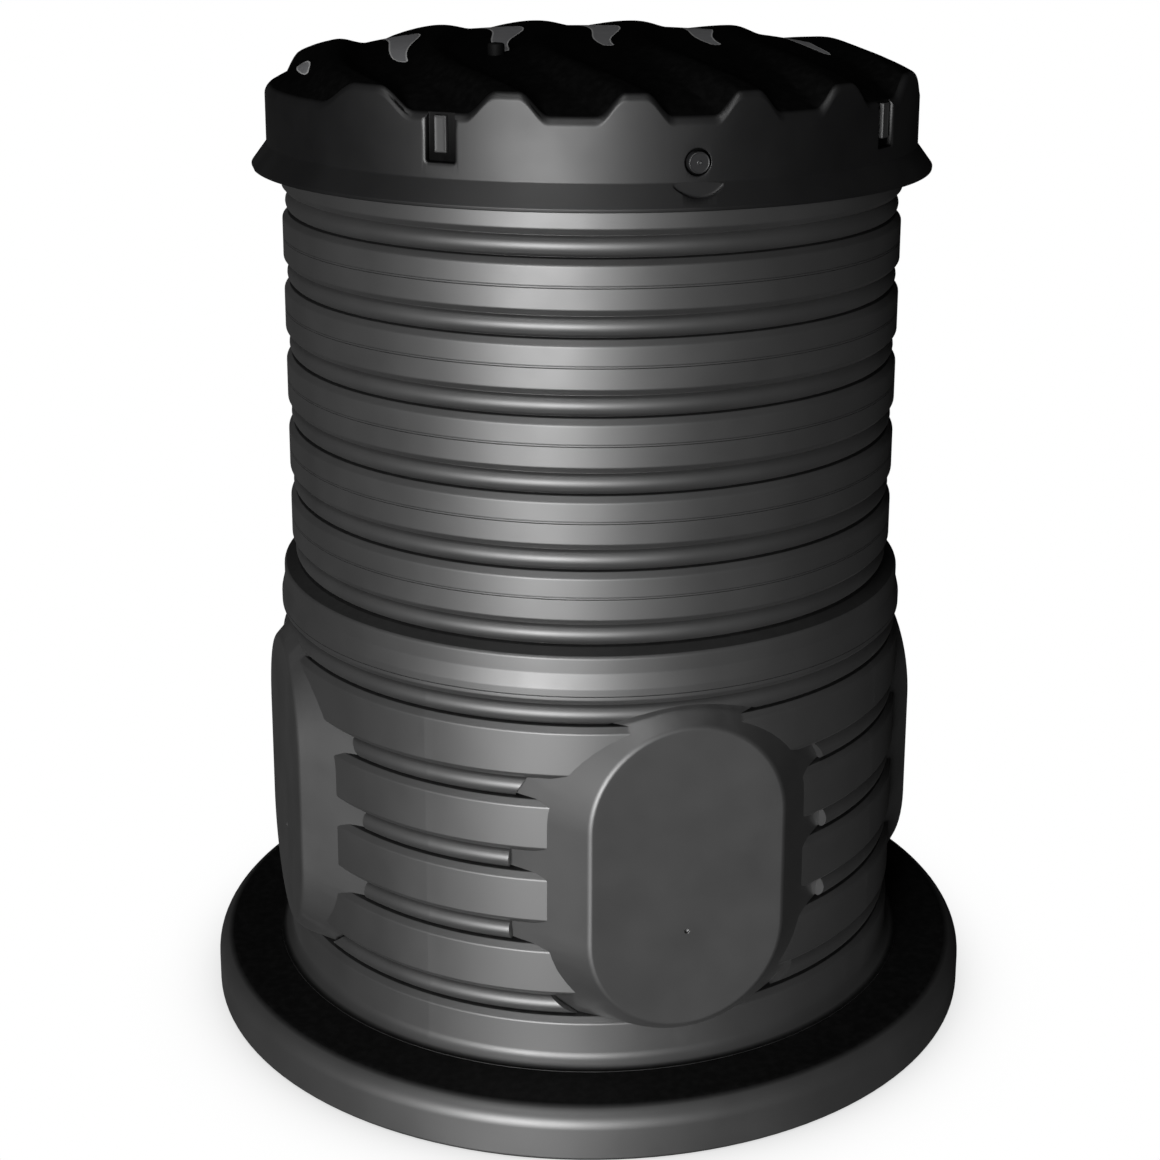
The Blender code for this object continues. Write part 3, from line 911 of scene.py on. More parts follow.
@dataclass
class Chamber:
    """Four quarters of the ribbed chamber wall, each with its connection pad."""

    radius: float = CHAMBER_RADIUS
    wall: float = WALL
    fillet: float = 0.014
    toe: float = 0.0005
    grooves: int = 5
    pitch: float = 0.081
    first_groove: float = 0.0647
    clearance: float = 0.00002
    pad_plane: float = 0.3602
    pad_width: float = 0.217
    pad_height: float = 0.340
    pad_centre: float = 0.2091
    pad_edge: float = 0.004
    pad_softness: float = 0.003
    flank_room: float = 0.2
    pilot_radius: float = 0.0025
    pilot_drop: float = 0.059
    joint_round: float = 0.0005
    bore_share: float = 0.995
    ease: float = 0.0003
    sharp_angle: float = 21.0
    segments: int = 44
    groove: Groove = field(default_factory=Groove)

    def build(self) -> None:
        """Makes the four quarters."""
        low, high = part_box("chamber_wall_front")
        first_height = low.z + self.first_groove
        self.heights = [first_height + i * self.pitch for i in range(self.grooves)]
        piece = self.quarter(low.z, high.z)
        shape = piece.data.copy()
        for i, side in enumerate(("front", "right", "back", "left")):
            if i:
                piece = bpy.data.objects.new("chamber_quarter_" + side, shape.copy())
                bpy.context.scene.collection.objects.link(piece)
                piece.data.transform(Matrix.Rotation(i * math.pi / 2, 4, "Z"))
            fit(piece, CHAMBER_FINISH, "chamber_wall_" + side, angle=self.sharp_angle)

    def outline(self, foot: float, top: float) -> list[Point]:
        """Makes the wall's outline.

        Args:
            foot: the height of its foot.
            top: the height of its top.

        Returns:
            The points.
        """
        inside = self.radius - self.wall
        toe = self.radius + self.fillet
        corners = [(inside, foot, 0.0), (toe, foot, 0.0), (toe, foot + self.toe, 0.0)]
        corners += arc_points(
            (toe, foot + self.fillet + self.toe), self.fillet, 265, 180, 8)
        for height in self.heights:
            corners += self.groove.outside(self.radius, height)
        corners += [(self.radius, top, self.joint_round), (inside, top, 0.0)]
        for height in reversed(self.heights):
            corners += self.groove.inside(self.radius, height)
        return rounded(corners, 4)

    def stadium(self, plane: float, spread: float, centre: float) -> np.ndarray:
        """Makes one loop of the pad's upright oblong.

        Args:
            plane: how far forward it lies.
            spread: how much it is widened.
            centre: the height of its middle.

        Returns:
            The points.
        """
        radius = self.pad_width / 2 + spread
        straight = (self.pad_height - self.pad_width) / 2
        return np.array([
            (side * radius * math.cos(a), -plane,
             centre + side * (straight + radius * math.sin(a)))
            for side in (1, -1) for a in np.linspace(0.0, math.pi, 33)])

    def flank(self, back: float) -> list[Point]:
        """Lists the pad's section, from the face over the soft edge down its flank.

        Args:
            back: how far the section lies behind the outside.

        Returns:
            Each step's plane and spread.
        """
        soft = self.pad_softness
        steps = [(self.pad_plane - back, -self.pad_edge - 3 * soft)]
        for k in range(7):
            out = -soft + 2 * soft * k / 6
            fall = (out + soft) ** 2 / (4 * soft)
            steps.append((self.pad_plane - back - fall, out - self.pad_edge))
        reach = self.reach()
        steps.append((self.pad_plane - back - self.pad_edge - reach, reach))
        return steps

    def reach(self) -> float:
        """Returns how far the 45 degree flank runs, past the bore but short of the joint."""
        across = self.pad_width / 2
        ahead = self.pad_plane - self.pad_edge
        bore = (self.radius - self.groove.depth - self.wall) * self.bore_share
        half = (ahead - across) / 2
        room = half ** 2 - (across ** 2 + ahead ** 2 - bore ** 2) / 2
        return min(half - math.sqrt(max(room, 0.0)) + self.wall, half - self.ease)

    def bead_gap(self, centre: float) -> Solid:
        """Makes the zone round the pad where its flank fills the grooves, so no bead runs there.

        Args:
            centre: the height of the pad's middle.

        Returns:
            A solid that covers the zone.
        """
        edge = self.stadium(0.0, 0.0, centre)
        away = self.stadium(0.0, 1.0, centre) - edge
        face = self.pad_plane - self.pad_edge
        stop = self.radius - self.groove.bead_stop
        near, _ = halved(
            np.zeros(len(edge)), np.full(len(edge), self.flank_room),
            lambda spread: np.hypot(edge[:, 0] + away[:, 0] * spread, face - spread) > stop, 30)
        across = edge[:, 0] + away[:, 0] * near
        angle = np.arctan2(across, face - near)
        height = edge[:, 2] + away[:, 2] * near
        loops = [
            np.stack([r * np.sin(angle), -r * np.cos(angle), height], axis=1)
            for r in (self.radius + 0.02, self.radius - 0.03)]
        return lofted("bead_gap", loops)

    def quarter(self, foot: float, top: float) -> Solid:
        """Makes the front quarter.

        Args:
            foot: the height of its foot.
            top: the height of its top.

        Returns:
            The piece.
        """
        turn = self.clearance / self.radius
        piece = turned(
            "chamber_quarter_front", self.outline(foot, top), self.segments,
            -0.75 * math.pi + turn, math.pi / 2 - 2 * turn)
        centre = foot + self.pad_centre
        for height in self.heights:
            section = self.groove.pocket(self.radius, height)
            pocket = turned("pocket", section, self.segments, -0.74 * math.pi, 0.48 * math.pi)
            work_in(pocket, self.bead_gap(centre), Join.COMMON)
            work_in(piece, pocket, Join.CUT)
        outside = [self.stadium(p, s, centre) for p, s in self.flank(0.0)]
        work_in(piece, lofted("pad_outside", outside), Join.WELD)
        inset = self.wall * (math.sqrt(2) - 1)
        inside = [self.stadium(p, s - inset, centre) for p, s in self.flank(self.wall)]
        work_in(piece, lofted("pad_inside", inside), Join.CUT)
        bore = self.radius - self.groove.depth - self.wall
        work_in(piece, turned("bore", [
            (0.0, -0.5), (bore, -0.5), (bore, 1.5), (0.0, 1.5)]), Join.CUT)
        pilot = turned("pilot", [
            (0.0, -0.004), (self.pilot_radius, -0.0025), (self.pilot_radius, -0.0008),
            (self.pilot_radius + 0.001, 0.0002), (self.pilot_radius + 0.001, 0.004),
            (0.0, 0.004)], 24)
        aimed(pilot, self.pad_plane, 0.0, centre - self.pilot_drop)
        work_in(piece, pilot, Join.CUT)
        return piece


@dataclass
class Neck:
    """The shoulder, the rings that can be sawn off, the rim and the seal."""

    ring_height: float = 0.0786
    wall: float = WALL
    rings: int = 4
    chamber_radius: float = CHAMBER_RADIUS
    shoulder_radius: float = 0.350
    shoulder_band: float = 0.008
    shoulder_round: float = 0.008
    inner_round: float = 0.004
    joint_round: float = 0.0005
    shoulder_slope: float = 0.015
    groove: Groove = field(default_factory=Groove)
    cut_line: CutLine = field(default_factory=CutLine)

    def build(self) -> None:
        """Makes the shoulder, the rings, the rim and the seal."""
        self.shoulder()
        for number in range(self.rings, 0, -1):
            self.ring(f"neck_section_{number}", f"neck_ring_{number}")
        self.ring("neck_collar", "neck_rim")
        self.seal()

    def shoulder(self) -> None:
        """Makes the ring that narrows from the chamber to the neck."""
        low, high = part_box("shoulder_ring")
        foot, top = low.z, high.z
        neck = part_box("neck_ring_1")[1].x
        groove = top - self.ring_height / 2
        slope = foot + self.shoulder_band
        corners = [
            (self.chamber_radius, foot, self.joint_round),
            (self.chamber_radius, slope, self.shoulder_round),
            (self.shoulder_radius, slope + self.shoulder_slope, self.shoulder_round),
        ]
        corners += self.groove.outside(neck, groove, self.shoulder_radius)
        corners += [(neck, top, self.cut_line.edge), (neck - self.wall, top, 0.0)]
        corners += self.groove.inside(neck, groove)[:3]
        corners += [
            (self.shoulder_radius - self.wall,
             groove - self.groove.mouth / 2 - self.wall, self.inner_round),
            (self.chamber_radius - self.wall, slope, self.inner_round),
            (self.chamber_radius - self.wall, foot, 0.0),
        ]
        piece = turned("shoulder_moulding", rounded(corners))
        fit(piece, TANK_FINISH, "shoulder_ring")

    def ring(self, name: str, node: str) -> None:
        """Makes a ribbed ring in a node's place.

        Args:
            name: the piece's name.
            node: the node that it replaces.
        """
        low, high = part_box(node)
        radius, foot, top = high.x, low.z, high.z
        middle = foot + self.ring_height / 2
        corners = [(radius, foot, self.cut_line.edge)]
        corners += self.cut_line.above(radius, foot)
        corners += self.groove.outside(radius, middle)
        corners += [(radius, top, self.cut_line.edge), (radius - self.wall, top, 0.0)]
        corners += self.groove.inside(radius, middle)
        corners += [(radius - self.wall, foot, 0.0)]
        piece = turned(name, rounded(corners))
        fit(piece, TANK_FINISH, node)

    def seal(self) -> None:
        """Makes the soft seal on the rim, a flat ring with two lips."""
        low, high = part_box("neck_seal")
        outer, inner = high.x, high.x - self.wall
        middle = (outer + inner) / 2
        foot, lip, dip = 0.0008, 0.0015, 0.0006
        outline = rounded([
            (inner, low.z, foot), (outer, low.z, foot), (outer, high.z, lip),
            (middle + 0.001, high.z, dip), (middle, high.z - lip, dip),
            (middle - 0.001, high.z, dip), (inner, high.z, lip)], 3)
        piece = turned("rim_seal", outline)
        fit(piece, SEAL_FINISH, "neck_seal")


@dataclass
class Lid:
    """The lift-off lid: one moulding with wave ridges, and its latches, locks and vent."""

    crest_rise: float = 0.0691
    crest_drop: float = 0.0346
    valley_rise: float = 0.0645
    valley_drop: float = 0.0534
    pitch: float = 0.112
    floor: float = 0.051
    mouth_flank: float = 0.026
    mouth_ease: float = 0.005
    sway: float = 0.046
    wall: float = 0.006
    skirt_wall: float = WALL
    flare_wall: float = 0.012
    seat_width: float = 0.0296
    flare_height: float = 0.0255
    flare_round: float = 0.004
    lip: float = 0.0035
    lip_round: float = 0.001
    rim_round: float = 0.0065
    cell: float = 0.003
    rim_cell: float = 0.008
    rows: int = 72
    under_rows: int = 26
    sharp_angle: float = 60.0
    latch_angles: tuple[float, ...] = (-40.4, 40.4, 139.6, 220.4)
    lock_angles: Point = (0.0, 180.0)
    recess_width: float = 0.0287
    recess_tall: float = 0.073
    recess_corner: float = 0.0015
    recess_rise: float = 0.0412
    recess_depth: float = 0.006
    recess_round: float = 0.005
    tongue_width: float = 0.013
    tongue_corner: float = 0.0012
    lock_rise: float = 0.0443
    lock_recess: float = 0.013
    lock_spot: float = 0.034
    lock_depth: float = 0.005
    lock_proud: float = 0.0045
    lock_size: float = 0.0105
    vent_gap: float = 0.0005
    ease: float = 0.0003
    touch: float = 0.0008
    # Where the painted sheen patches on the valley floors end, how round their corners are and
    # where they taper.
    sheen_patch_end: float = 0.735
    last_sheen_patch_end: float = 0.90
    sheen_patch_corner: float = 0.006
    taper_start: float = 0.14
    taper_end: float = 0.22

    def build(self) -> None:
        """Makes the lid's moulding and its fittings."""
        self.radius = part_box("lid_top")[1].x
        self.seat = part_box("lid_top")[0].z
        self.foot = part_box("lid_skirt")[0].z
        self.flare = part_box("lid_skirt")[1].x
        shell = self.shell()
        self.cut_recesses(shell)
        self.mark_painted_light(shell)
        fit(shell, LID_FINISH, "lid_top", "lid_skirt", angle=self.sharp_angle)
        for number, angle in enumerate(self.latch_angles, 1):
            self.latch(number, angle)
        for number, angle in enumerate(self.lock_angles, 1):
            self.lock(number, angle)
        self.vent()

    def height(self, line: np.ndarray, radius: np.ndarray) -> np.ndarray:
        """Gives the top's height above its seat.

        Args:
            line: the place across the ridges, measured at the rim.
            radius: the distance from the lid's middle.

        Returns:
            The heights.
        """
        part = (radius / self.radius) ** 2
        crest = self.crest_rise - self.crest_drop * part ** 2
        valley = self.valley_rise - self.valley_drop * part ** 2
        off = np.abs((line + self.pitch / 2) % self.pitch - self.pitch / 2)
        flank = (self.pitch - self.floor) / 2
        near = np.clip((part - 0.5) * 2, 0, 1)
        mouth = near * near * (3 - 2 * near)
        flank = flank + (self.mouth_flank - flank) * mouth
        edge = self.floor / 2 - self.mouth_ease * mouth
        rise = np.clip((off - edge) / flank, 0, 1)
        return valley + (crest - valley) * rise * rise * (3 - 2 * rise)

    def plan(self, line: np.ndarray, along: np.ndarray) -> tuple[np.ndarray, np.ndarray]:
        """Places a point of the waving grid.

        Args:
            line: its place across the ridges, measured at the rim.
            along: its place along them, -1 to 1.

        Returns:
            Its x and y.
        """
        reach = np.sqrt(np.maximum(self.radius ** 2 - line ** 2, 0.0))
        wave = self.sway * (reach / self.radius) ** 2 * np.sin(np.pi * along)
        return line + wave, along * reach

    def lines(self) -> np.ndarray:
        """Returns the grid's lines across the lid, close enough for the flanks."""
        half = [0.0]
        angle = 0.0
        while angle < math.pi / 2:
            fine = self.cell / max(self.radius * math.cos(angle), 1e-6)
            angle += min(fine, self.rim_cell / self.radius)
            half.append(self.radius * math.sin(min(angle, math.pi / 2)))
        lines = np.array(half[:-2])
        for k in range(int(self.radius / self.pitch) + 2):
            for mark in (k * self.pitch - self.floor / 2, k * self.pitch + self.floor / 2):
                if 0 < mark < lines[-1]:
                    lines[np.argmin(np.abs(lines - mark))] = mark
        return np.concatenate([-lines[:0:-1], lines])

    def rim_place(self, line: np.ndarray, radius: float, side: int) -> np.ndarray:
        """Finds where the grid's lines meet a circle.

        Args:
            line: the lines.
            radius: the circle's radius.
            side: -1 for the front, 1 for the back.

        Returns:
            The places along the lines.
        """
        return halved(
            np.zeros_like(line), np.full_like(line, float(side)),
            lambda middle: np.hypot(*self.plan(line, middle)) < radius)[1]

    def sheet(
            self, radius: float, lower: float,
            rows: int) -> tuple[np.ndarray, list, np.ndarray, np.ndarray]:
        """Makes one side of the top, out to a circle.

        Args:
            radius: the circle's radius.
            lower: how far it lies below the outer surface.
            rows: the rows of its grid.

        Returns:
            Its points, its faces, the numbers of its rim points and their lines.
        """
        lines = self.lines()
        lines = lines[np.abs(lines) < radius * 0.9995]
        front = self.rim_place(lines, radius, -1)
        back = self.rim_place(lines, radius, 1)
        even = np.linspace(0, 1, rows)
        share = (1 - np.cos(np.pi * even)) / 2 * 0.35 + even * 0.65
        along = front[:, None] + (back - front)[:, None] * share[None, :]
        wide = np.repeat(lines[:, None], rows, axis=1)
        x, y = self.plan(wide, along)
        z = self.seat + self.height(wide, np.hypot(x, y)) - lower
        points = np.stack([x, y, z], axis=-1).reshape(-1, 3)
        level = self.seat - lower
        ends = np.array([
            (tip, 0.0, level + float(self.height(np.array(tip), np.array(radius))))
            for tip in (-radius, radius)])
        count = len(lines)
        faces = []
        for i in range(count - 1):
            for k in range(rows - 1):
                a = i * rows + k
                faces.append((a, a + rows, a + rows + 1, a + 1))
        left, right = count * rows, count * rows + 1
        for k in range(rows - 1):
            faces.append((k, k + 1, left))
            a = (count - 1) * rows + k
            faces.append((a + 1, a, right))
        rim = [i * rows for i in range(count)] + [right]
        rim += [i * rows + rows - 1 for i in reversed(range(count))] + [left]
        at = np.concatenate([lines, [radius], lines[::-1], [-radius]])
        return np.concatenate([points, ends]), faces, np.array(rim), at

    def shell(self) -> Solid:
        """Makes the lid's moulding, from the ridges to the skirt's lip and back inside."""
        soft = self.rim_round
        top, top_faces, rim, lines = self.sheet(self.radius - soft, 0.0, self.rows)
        inner = self.radius - self.seat_width
        under, under_faces, under_rim, _ = self.sheet(inner, self.wall, self.under_rows)
        outward = top[rim][:, :2]
        outward = outward / np.linalg.norm(outward, axis=1)[:, None]
        rings = []
        for k in range(1, 9):
            angle = math.pi / 2 * (1 - k / 8)
            at = self.radius - soft + soft * math.cos(angle)
            fall = soft * (1 - math.sin(angle))
            level = self.seat + self.height(lines, np.full(len(lines), at)) - fall
            rings.append(np.column_stack([outward * at, level]))
        crease = self.foot + self.flare_height
        inside = self.radius - self.skirt_wall
        profile = rounded([
            (self.radius, self.seat - 0.004, 0.0),
            (self.radius, crease, self.flare_round),
            (self.flare, self.foot + self.lip, 0.0012),
            (self.flare - 0.0005, self.foot, self.lip_round),
            (self.flare - self.flare_wall, self.foot, self.lip_round),
            (inside, crease, self.flare_round),
            (inside, self.seat, self.lip_round * 2),
            (inner, self.seat, self.lip_round),
        ], 4)
        for radius, level in profile:
            rings.append(np.column_stack([outward * radius, np.full(len(lines), level)]))
        points = [top]
        faces = list(top_faces)
        base = len(top)
        last = rim
        for ring in rings:
            points.append(ring)
            here = np.arange(base, base + len(ring))
            faces += self.band(last, here)
            base += len(ring)
            last = here
        points.append(under)
        faces += [tuple(base + v for v in face) for face in under_faces]
        points = np.concatenate(points)
        faces += self.uneven_band(last, under_rim + base, points)
        return make_object("lid_shell", points, faces)

    @staticmethod
    def band(first: np.ndarray, second: np.ndarray) -> list:
        """Joins two loops of equal length.

        Args:
            first: the numbers of one loop's points.
            second: the numbers of the other's.

        Returns:
            The faces.
        """
        nexts = np.roll(first, -1), np.roll(second, -1)
        return np.stack([first, nexts[0], nexts[1], second], axis=1).tolist()

    @staticmethod
    def uneven_band(first: np.ndarray, second: np.ndarray, points: np.ndarray) -> list:
        """Joins two loops of unequal length, point to nearest angle.

        Args:
            first: the numbers of one loop's points.
            second: the numbers of the other's.
            points: all the points.

        Returns:
            The faces.
        """
        def angles(loop: np.ndarray) -> np.ndarray:
            """Returns the loop's angles, unwrapped."""
            return np.unwrap(np.arctan2(points[loop, 1], points[loop, 0]))

        one, two = angles(first), angles(second)
        two = two + 2 * np.pi * round((one[0] - two[0]) / (2 * np.pi))
        faces = []
        i = j = 0
        while i < len(first) or j < len(second):
            ahead_one = one[i + 1] if i + 1 < len(first) else one[0] + 2 * np.pi
            ahead_two = two[j + 1] if j + 1 < len(second) else two[0] + 2 * np.pi
            a, b = first[i % len(first)], second[j % len(second)]
            if j >= len(second) or (i < len(first) and ahead_one <= ahead_two):
                faces.append((a, first[(i + 1) % len(first)], b))
                i += 1
            else:
                faces.append((a, second[(j + 1) % len(second)], b))
                j += 1
        return faces

    @staticmethod
    def oblong(
            width: float, tall: float, corner: float, spread: float,
            ahead: float, angle: float, middle: float) -> np.ndarray:
        """Makes a loop round an upright oblong that faces outwards.

        Args:
            width: its width.
            tall: its height.
            corner: the radius of its corners.
            spread: how much it is widened all round.
            ahead: how far out it lies.
            angle: its angle from the front, in degrees.
            middle: the height of its middle.

        Returns:
            The points.
        """
        half, up = width / 2 + spread, tall / 2 + spread
        corner = max(corner + spread, 0.0002)
        outline = rounded([
            (-half, -up, corner), (half, -up, corner), (half, up, corner), (-half, up, corner)], 5)
        turn = Matrix.Rotation(math.radians(angle), 3, "Z")
        return np.array([turn @ Vector((x, -ahead, middle + y)) for x, y in outline])

    def cut_recesses(self, shell: Solid) -> None:
        """Cuts the latch recesses, the spot faces, the lock recesses and the vent's seat.

        Args:
            shell: the lid's moulding.
        """
        soft = self.recess_round
        depths = [(-self.recess_depth, 0.0), (-soft, 0.0)]
        for k in range(1, 6):
            down = soft * (1 - k / 5)
            depths.append((-down, soft - math.sqrt(soft ** 2 - (soft - down) ** 2)))
        depths += [(0.0006, soft + 0.0004), (0.03, soft + 0.0004)]
        low = self.foot + self.recess_rise
        for angle in self.latch_angles:
            loops = [
                self.oblong(self.recess_width, self.recess_tall, self.recess_corner, spread,
                            self.radius + ahead, angle, low + self.recess_tall / 2)
                for ahead, spread in depths]
            work_in(shell, lofted("latch_recess", loops), Join.CUT)
        height = self.foot + self.lock_rise
        spot = self.lock_spot
        hole = self.lock_recess
        for angle in self.lock_angles:
            face = turned("spot_face", rounded([
                (0.0, self.ease, 0.0), (spot, self.ease, 0.0022),
                (spot, 0.04, 0.0), (0.0, 0.04, 0.0)], 4), 64)
            aimed(face, self.radius, angle, height)
            work_in(shell, face, Join.CUT)
            well = turned("lock_well", rounded([
                (0.0, -self.lock_depth, 0.0), (hole, -self.lock_depth, 0.0006),
                (hole, -0.0012, 0.001), (hole + 0.0011, 0.0, 0.0), (hole + 0.0011, 0.02, 0.0),
                (0.0, 0.02, 0.0)], 4), 48)
            aimed(well, self.radius, angle, height)
            work_in(shell, well, Join.CUT)
        low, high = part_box("lid_vent")
        middle = (low + high) / 2
        size = (high.x - low.x) / 2 + self.vent_gap
        seat = turned("vent_seat", [
            (0.0, low.z - self.ease), (size, low.z - self.ease),
            (size, low.z + 0.03), (0.0, low.z + 0.03)], 40)
        seat.data.transform(Matrix.Translation((middle.x, middle.y, 0.0)))
        work_in(shell, seat, Join.CUT)

    def mark_painted_light(self, shell: Solid) -> None:
        """Writes each point's way out of the nearest painted sheen patch on a valley floor, and its
        share of the matt painted shade on the top and in the sunk recesses.

        Args:
            shell: the lid's moulding.
        """
        mesh = shell.data
        points = np.empty(len(mesh.vertices) * 3, np.float32)
        mesh.vertices.foreach_get("co", points)
        x, y, z = points.reshape(-1, 3).T.astype(float)
        far = np.hypot(x, y)

        def left_of(middle: np.ndarray) -> np.ndarray:
            """Returns whether each grid line passes its point on the left."""
            reach = np.sqrt(np.maximum(self.radius ** 2 - middle ** 2, 1e-9))
            return self.plan(middle, np.clip(y / reach, -1, 1))[0] < x

        line = sum(halved(np.full(len(x), -self.radius), np.full(len(x), self.radius), left_of)) / 2
        valley = np.round(line / self.pitch)
        # The front painted sheen patches end sooner than the outer and back ones.
        long = (np.abs(valley) > 2.5) | (y > 0)
        end = self.radius * np.where(long, self.last_sheen_patch_end, self.sheen_patch_end)
        taper = self.floor * np.clip((self.taper_end - y) / self.taper_end / 2, 0, 0.8)
        off = np.abs(line - valley * self.pitch - taper / 2)
        across = off - (self.floor - taper) / 2 + self.sheen_patch_corner
        beyond = np.maximum(far - end, -self.taper_start - y) + self.sheen_patch_corner
        outside = np.hypot(np.maximum(across, 0), np.maximum(beyond, 0))
        edge = outside + np.minimum(np.maximum(across, beyond), 0) - self.sheen_patch_corner
        top = self.seat + self.height(line, far)
        flat = (np.abs(z - top) < self.touch) & (far < self.radius - self.rim_round)
        edge = np.where(flat, edge, 0.05)
        inward = (self.radius - far) / self.rim_round
        share = np.clip((z - top) / 0.005 + 1, 0, 1) * np.clip((inward - 0.4) / 0.6, 0, 1)
        # The insides of the sunk recesses get the full painted shade.
        sunk = (far > self.radius - self.recess_depth - self.touch) & (far < self.radius - 0.0012)
        sunk &= (z < top - self.rim_round - self.ease) & (z > self.foot + self.flare_height)
        share = np.where(sunk, 1.0, share)
        for name, values in ((PAINTED_SHEEN_EDGE, edge), (TOP_PAINTED_SHADE, share)):
            attribute = mesh.attributes.new(name, "FLOAT", "POINT")
            attribute.data.foreach_set("value", values.astype(np.float32))

    def latch(self, number: int, angle: float) -> None:
        """Makes one snap tongue.

        Args:
            number: its number.
            angle: its angle from the front, in degrees.
        """
        node = f"lid_latch_{number}"
        low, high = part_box(node)
        tall = high.z - low.z
        start = self.radius - self.recess_depth + self.ease
        steps = [
            (0.0, 0.0), (0.0036, 0.0), (0.0042, -0.0003),
            (0.0045, -0.0009), (0.0042, -0.0022), (0.0042, -0.004)]
        loops = [
            self.oblong(self.tongue_width, tall, self.tongue_corner, spread,
                        start + ahead, angle, (low.z + high.z) / 2)
            for ahead, spread in steps]
        piece = lofted(f"latch_tongue_{number}", loops)
        fit(piece, LATCH_FINISH, node)

    def lock(self, number: int, angle: float) -> None:
        """Makes one lock plug, a stepped button with a dimple.

        Args:
            number: its number.
            angle: its angle from the front, in degrees.
        """
        size = self.lock_size
        depth = self.lock_depth + self.lock_proud
        outline = rounded([
            (0.0, self.ease, 0.0), (size, self.ease, 0.0), (size, depth - 0.0006, 0.0006),
            (size - 0.0009, depth, 0.0003), (size - 0.0014, depth - 0.0005, 0.0003),
            (0.0022, depth - 0.0005, 0.0004), (0.0017, depth - 0.0001, 0.0003),
            (0.0012, depth - 0.0006, 0.0002), (0.0, depth - 0.0022, 0.0)], 3)
        piece = turned(f"lock_plug_{number}", outline, 64)
        aimed(piece, self.radius - self.lock_depth, angle, self.foot + self.lock_rise)
        fit(piece, LOCK_FINISH, f"lid_lock_{number}")

    def vent(self) -> None:
        """Makes the round vent plug in its valley."""
        low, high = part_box("lid_vent")
        middle = (low + high) / 2
        size = (high.x - low.x) / 2
        thick = high.z - low.z
        outline = rounded([
            (0.0, 0.0, 0.0), (size, 0.0, 0.0002), (size, thick, 0.0062),
            (size * 0.4, thick, 0.0003), (size * 0.36, thick - 0.0004, 0.0003),
            (0.0, thick - 0.0004, 0.0)], 8)
        piece = turned("vent_plug", outline, 56)
        piece.data.transform(Matrix.Translation((middle.x, middle.y, low.z)))
        fit(piece, VENT_FINISH, "lid_vent")


@dataclass(frozen=True)
class Softbox:
    """A distant soft lamp; its angles are from the front to the right and from the horizon."""

    name: str
    level: float
    angle: float
    rise: float
    size: float

    def hang(self) -> None:
        """Hangs the lamp."""
        data = bpy.data.lights.new(self.name, "SUN")
        data.energy = self.level * math.pi
        data.angle = math.radians(self.size)
        lamp = bpy.data.objects.new(self.name, data)
        turn, rise = math.radians(self.angle), math.radians(self.rise)
        toward = Vector((-math.sin(turn), math.cos(turn), -math.tan(rise)))
        lamp.rotation_mode = "QUATERNION"
        lamp.rotation_quaternion = toward.to_track_quat("-Z", "Y")
        bpy.context.scene.collection.objects.link(lamp)


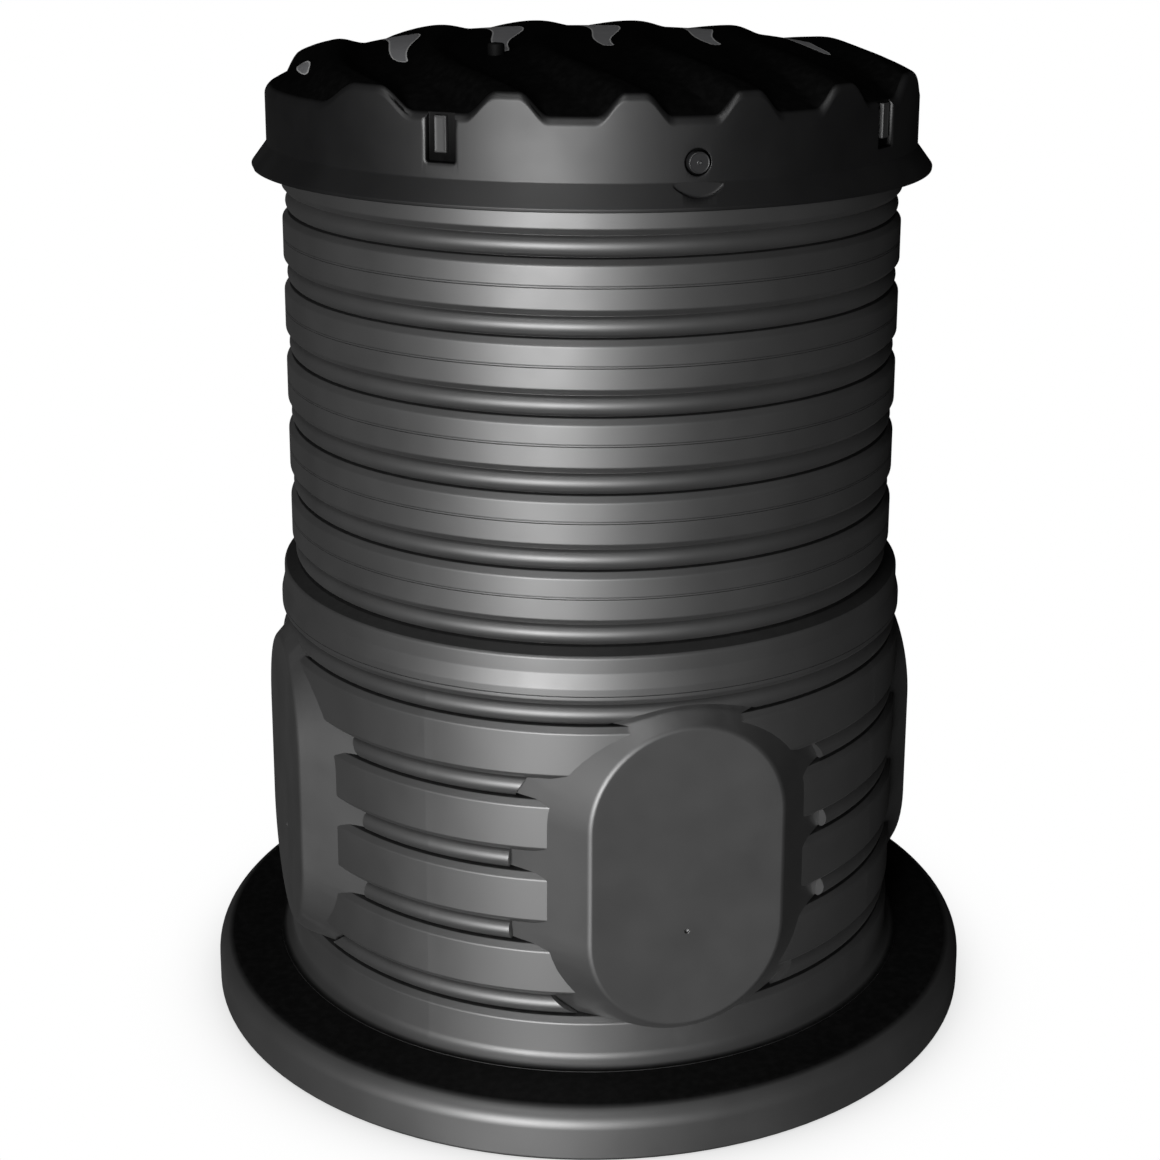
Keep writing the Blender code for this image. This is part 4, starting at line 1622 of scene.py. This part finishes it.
@dataclass
class Studio:
    """The pale floor, the soft lamps, the white surroundings and the camera."""

    lamps: tuple[Softbox, ...] = (
        Softbox("Key_softbox", 1.34, -33.0, 0.0, 22.0),
        Softbox("Top_softbox", 0.2, -41.0, 60.0, 20.0),
        Softbox("Back_softbox", 0.2, 167.65, -11.0, 18.0))
    ambient: float = 0.03
    sky_slope: Point = (0.6, 0.98)
    overhead: Point = (0.002, 0.05)
    turn: float = -16.35
    yaw: float = 0.0042
    tilt: float = 0.2490
    roll: float = 0.0053
    place: tuple[float, float, float] = (-0.6477, -2.2077, 1.2684)
    lens: float = 64.88
    shift: Point = (-0.0169, -0.155)
    floor_radius: float = 40.0
    floor_drop: float = 0.0005

    def build(self) -> None:
        """Sets up the studio."""
        self.floor()
        for lamp in self.lamps:
            lamp.hang()
        self.surroundings()
        self.camera()
        bpy.context.scene.view_settings.view_transform = "Standard"

    def floor(self) -> None:
        """Makes the pale floor, which keeps a soft shadow where the foot stands on it."""
        bm = bmesh.new()
        bmesh.ops.create_circle(bm, cap_ends=True, segments=96, radius=self.floor_radius)
        mesh = bpy.data.meshes.new("studio_floor")
        bm.to_mesh(mesh)
        bm.free()
        floor = bpy.data.objects.new("studio_floor", mesh)
        floor.location.z = -self.floor_drop
        bpy.context.scene.collection.objects.link(floor)
        mesh.materials.append(PaleFloor("Pale_floor").material())
        floor.visible_shadow = False

    def surroundings(self) -> None:
        """Makes the white surroundings, mirrored from overhead alone."""
        world = bpy.data.worlds.new("White_studio")
        world.use_nodes = True
        bpy.context.scene.world = world
        bench = NodeBench(world.node_tree)
        camera, mirrored, scattered = bench.rays()
        apart = bench.add("SeparateXYZ")
        bench.feed(apart, 0, bench.add("TexCoord").outputs["Generated"])
        open_sky = bench.spread(apart.outputs["Z"], self.sky_slope, self.overhead)
        mirrored = bench.sum_up("MULTIPLY", open_sky, mirrored)
        scattered = bench.sum_up("MULTIPLY", scattered, self.ambient)
        level = bench.sum_up("ADD", camera, bench.sum_up("ADD", mirrored, scattered))
        ground = world.node_tree.nodes["Background"]
        ground.inputs["Color"].default_value = (1.0, 1.0, 1.0, 1.0)
        bench.feed(ground, "Strength", level)

    def camera(self) -> None:
        """Sets up the camera as the photograph was taken."""
        ahead = Vector((
            math.sin(self.yaw) * math.cos(self.tilt),
            math.cos(self.yaw) * math.cos(self.tilt), -math.sin(self.tilt)))
        right = Vector((math.cos(self.yaw), -math.sin(self.yaw), 0.0))
        up = right.cross(ahead)
        lean = Matrix.Rotation(math.radians(self.turn), 3, "Z")
        across = lean @ (right * math.cos(self.roll) + up * math.sin(self.roll))
        above = lean @ (up * math.cos(self.roll) - right * math.sin(self.roll))
        behind = lean @ -ahead
        data = bpy.data.cameras.new("Photo_camera")
        data.sensor_width = 36.0
        data.lens = self.lens
        data.shift_x, data.shift_y = self.shift
        data.clip_end = 200.0
        camera = bpy.data.objects.new("Photo_camera", data)
        turn = Matrix((across, above, behind)).transposed().to_4x4()
        camera.matrix_world = Matrix.Translation(self.place) @ turn
        bpy.context.scene.collection.objects.link(camera)
        bpy.context.scene.camera = camera


def main() -> None:
    """Builds the tank's pieces and the studio."""
    logging.basicConfig(level=logging.INFO, format="%(message)s")
    Foot().build()
    Chamber().build()
    Neck().build()
    Lid().build()
    Studio().build()


if __name__ == "__main__":
    main()
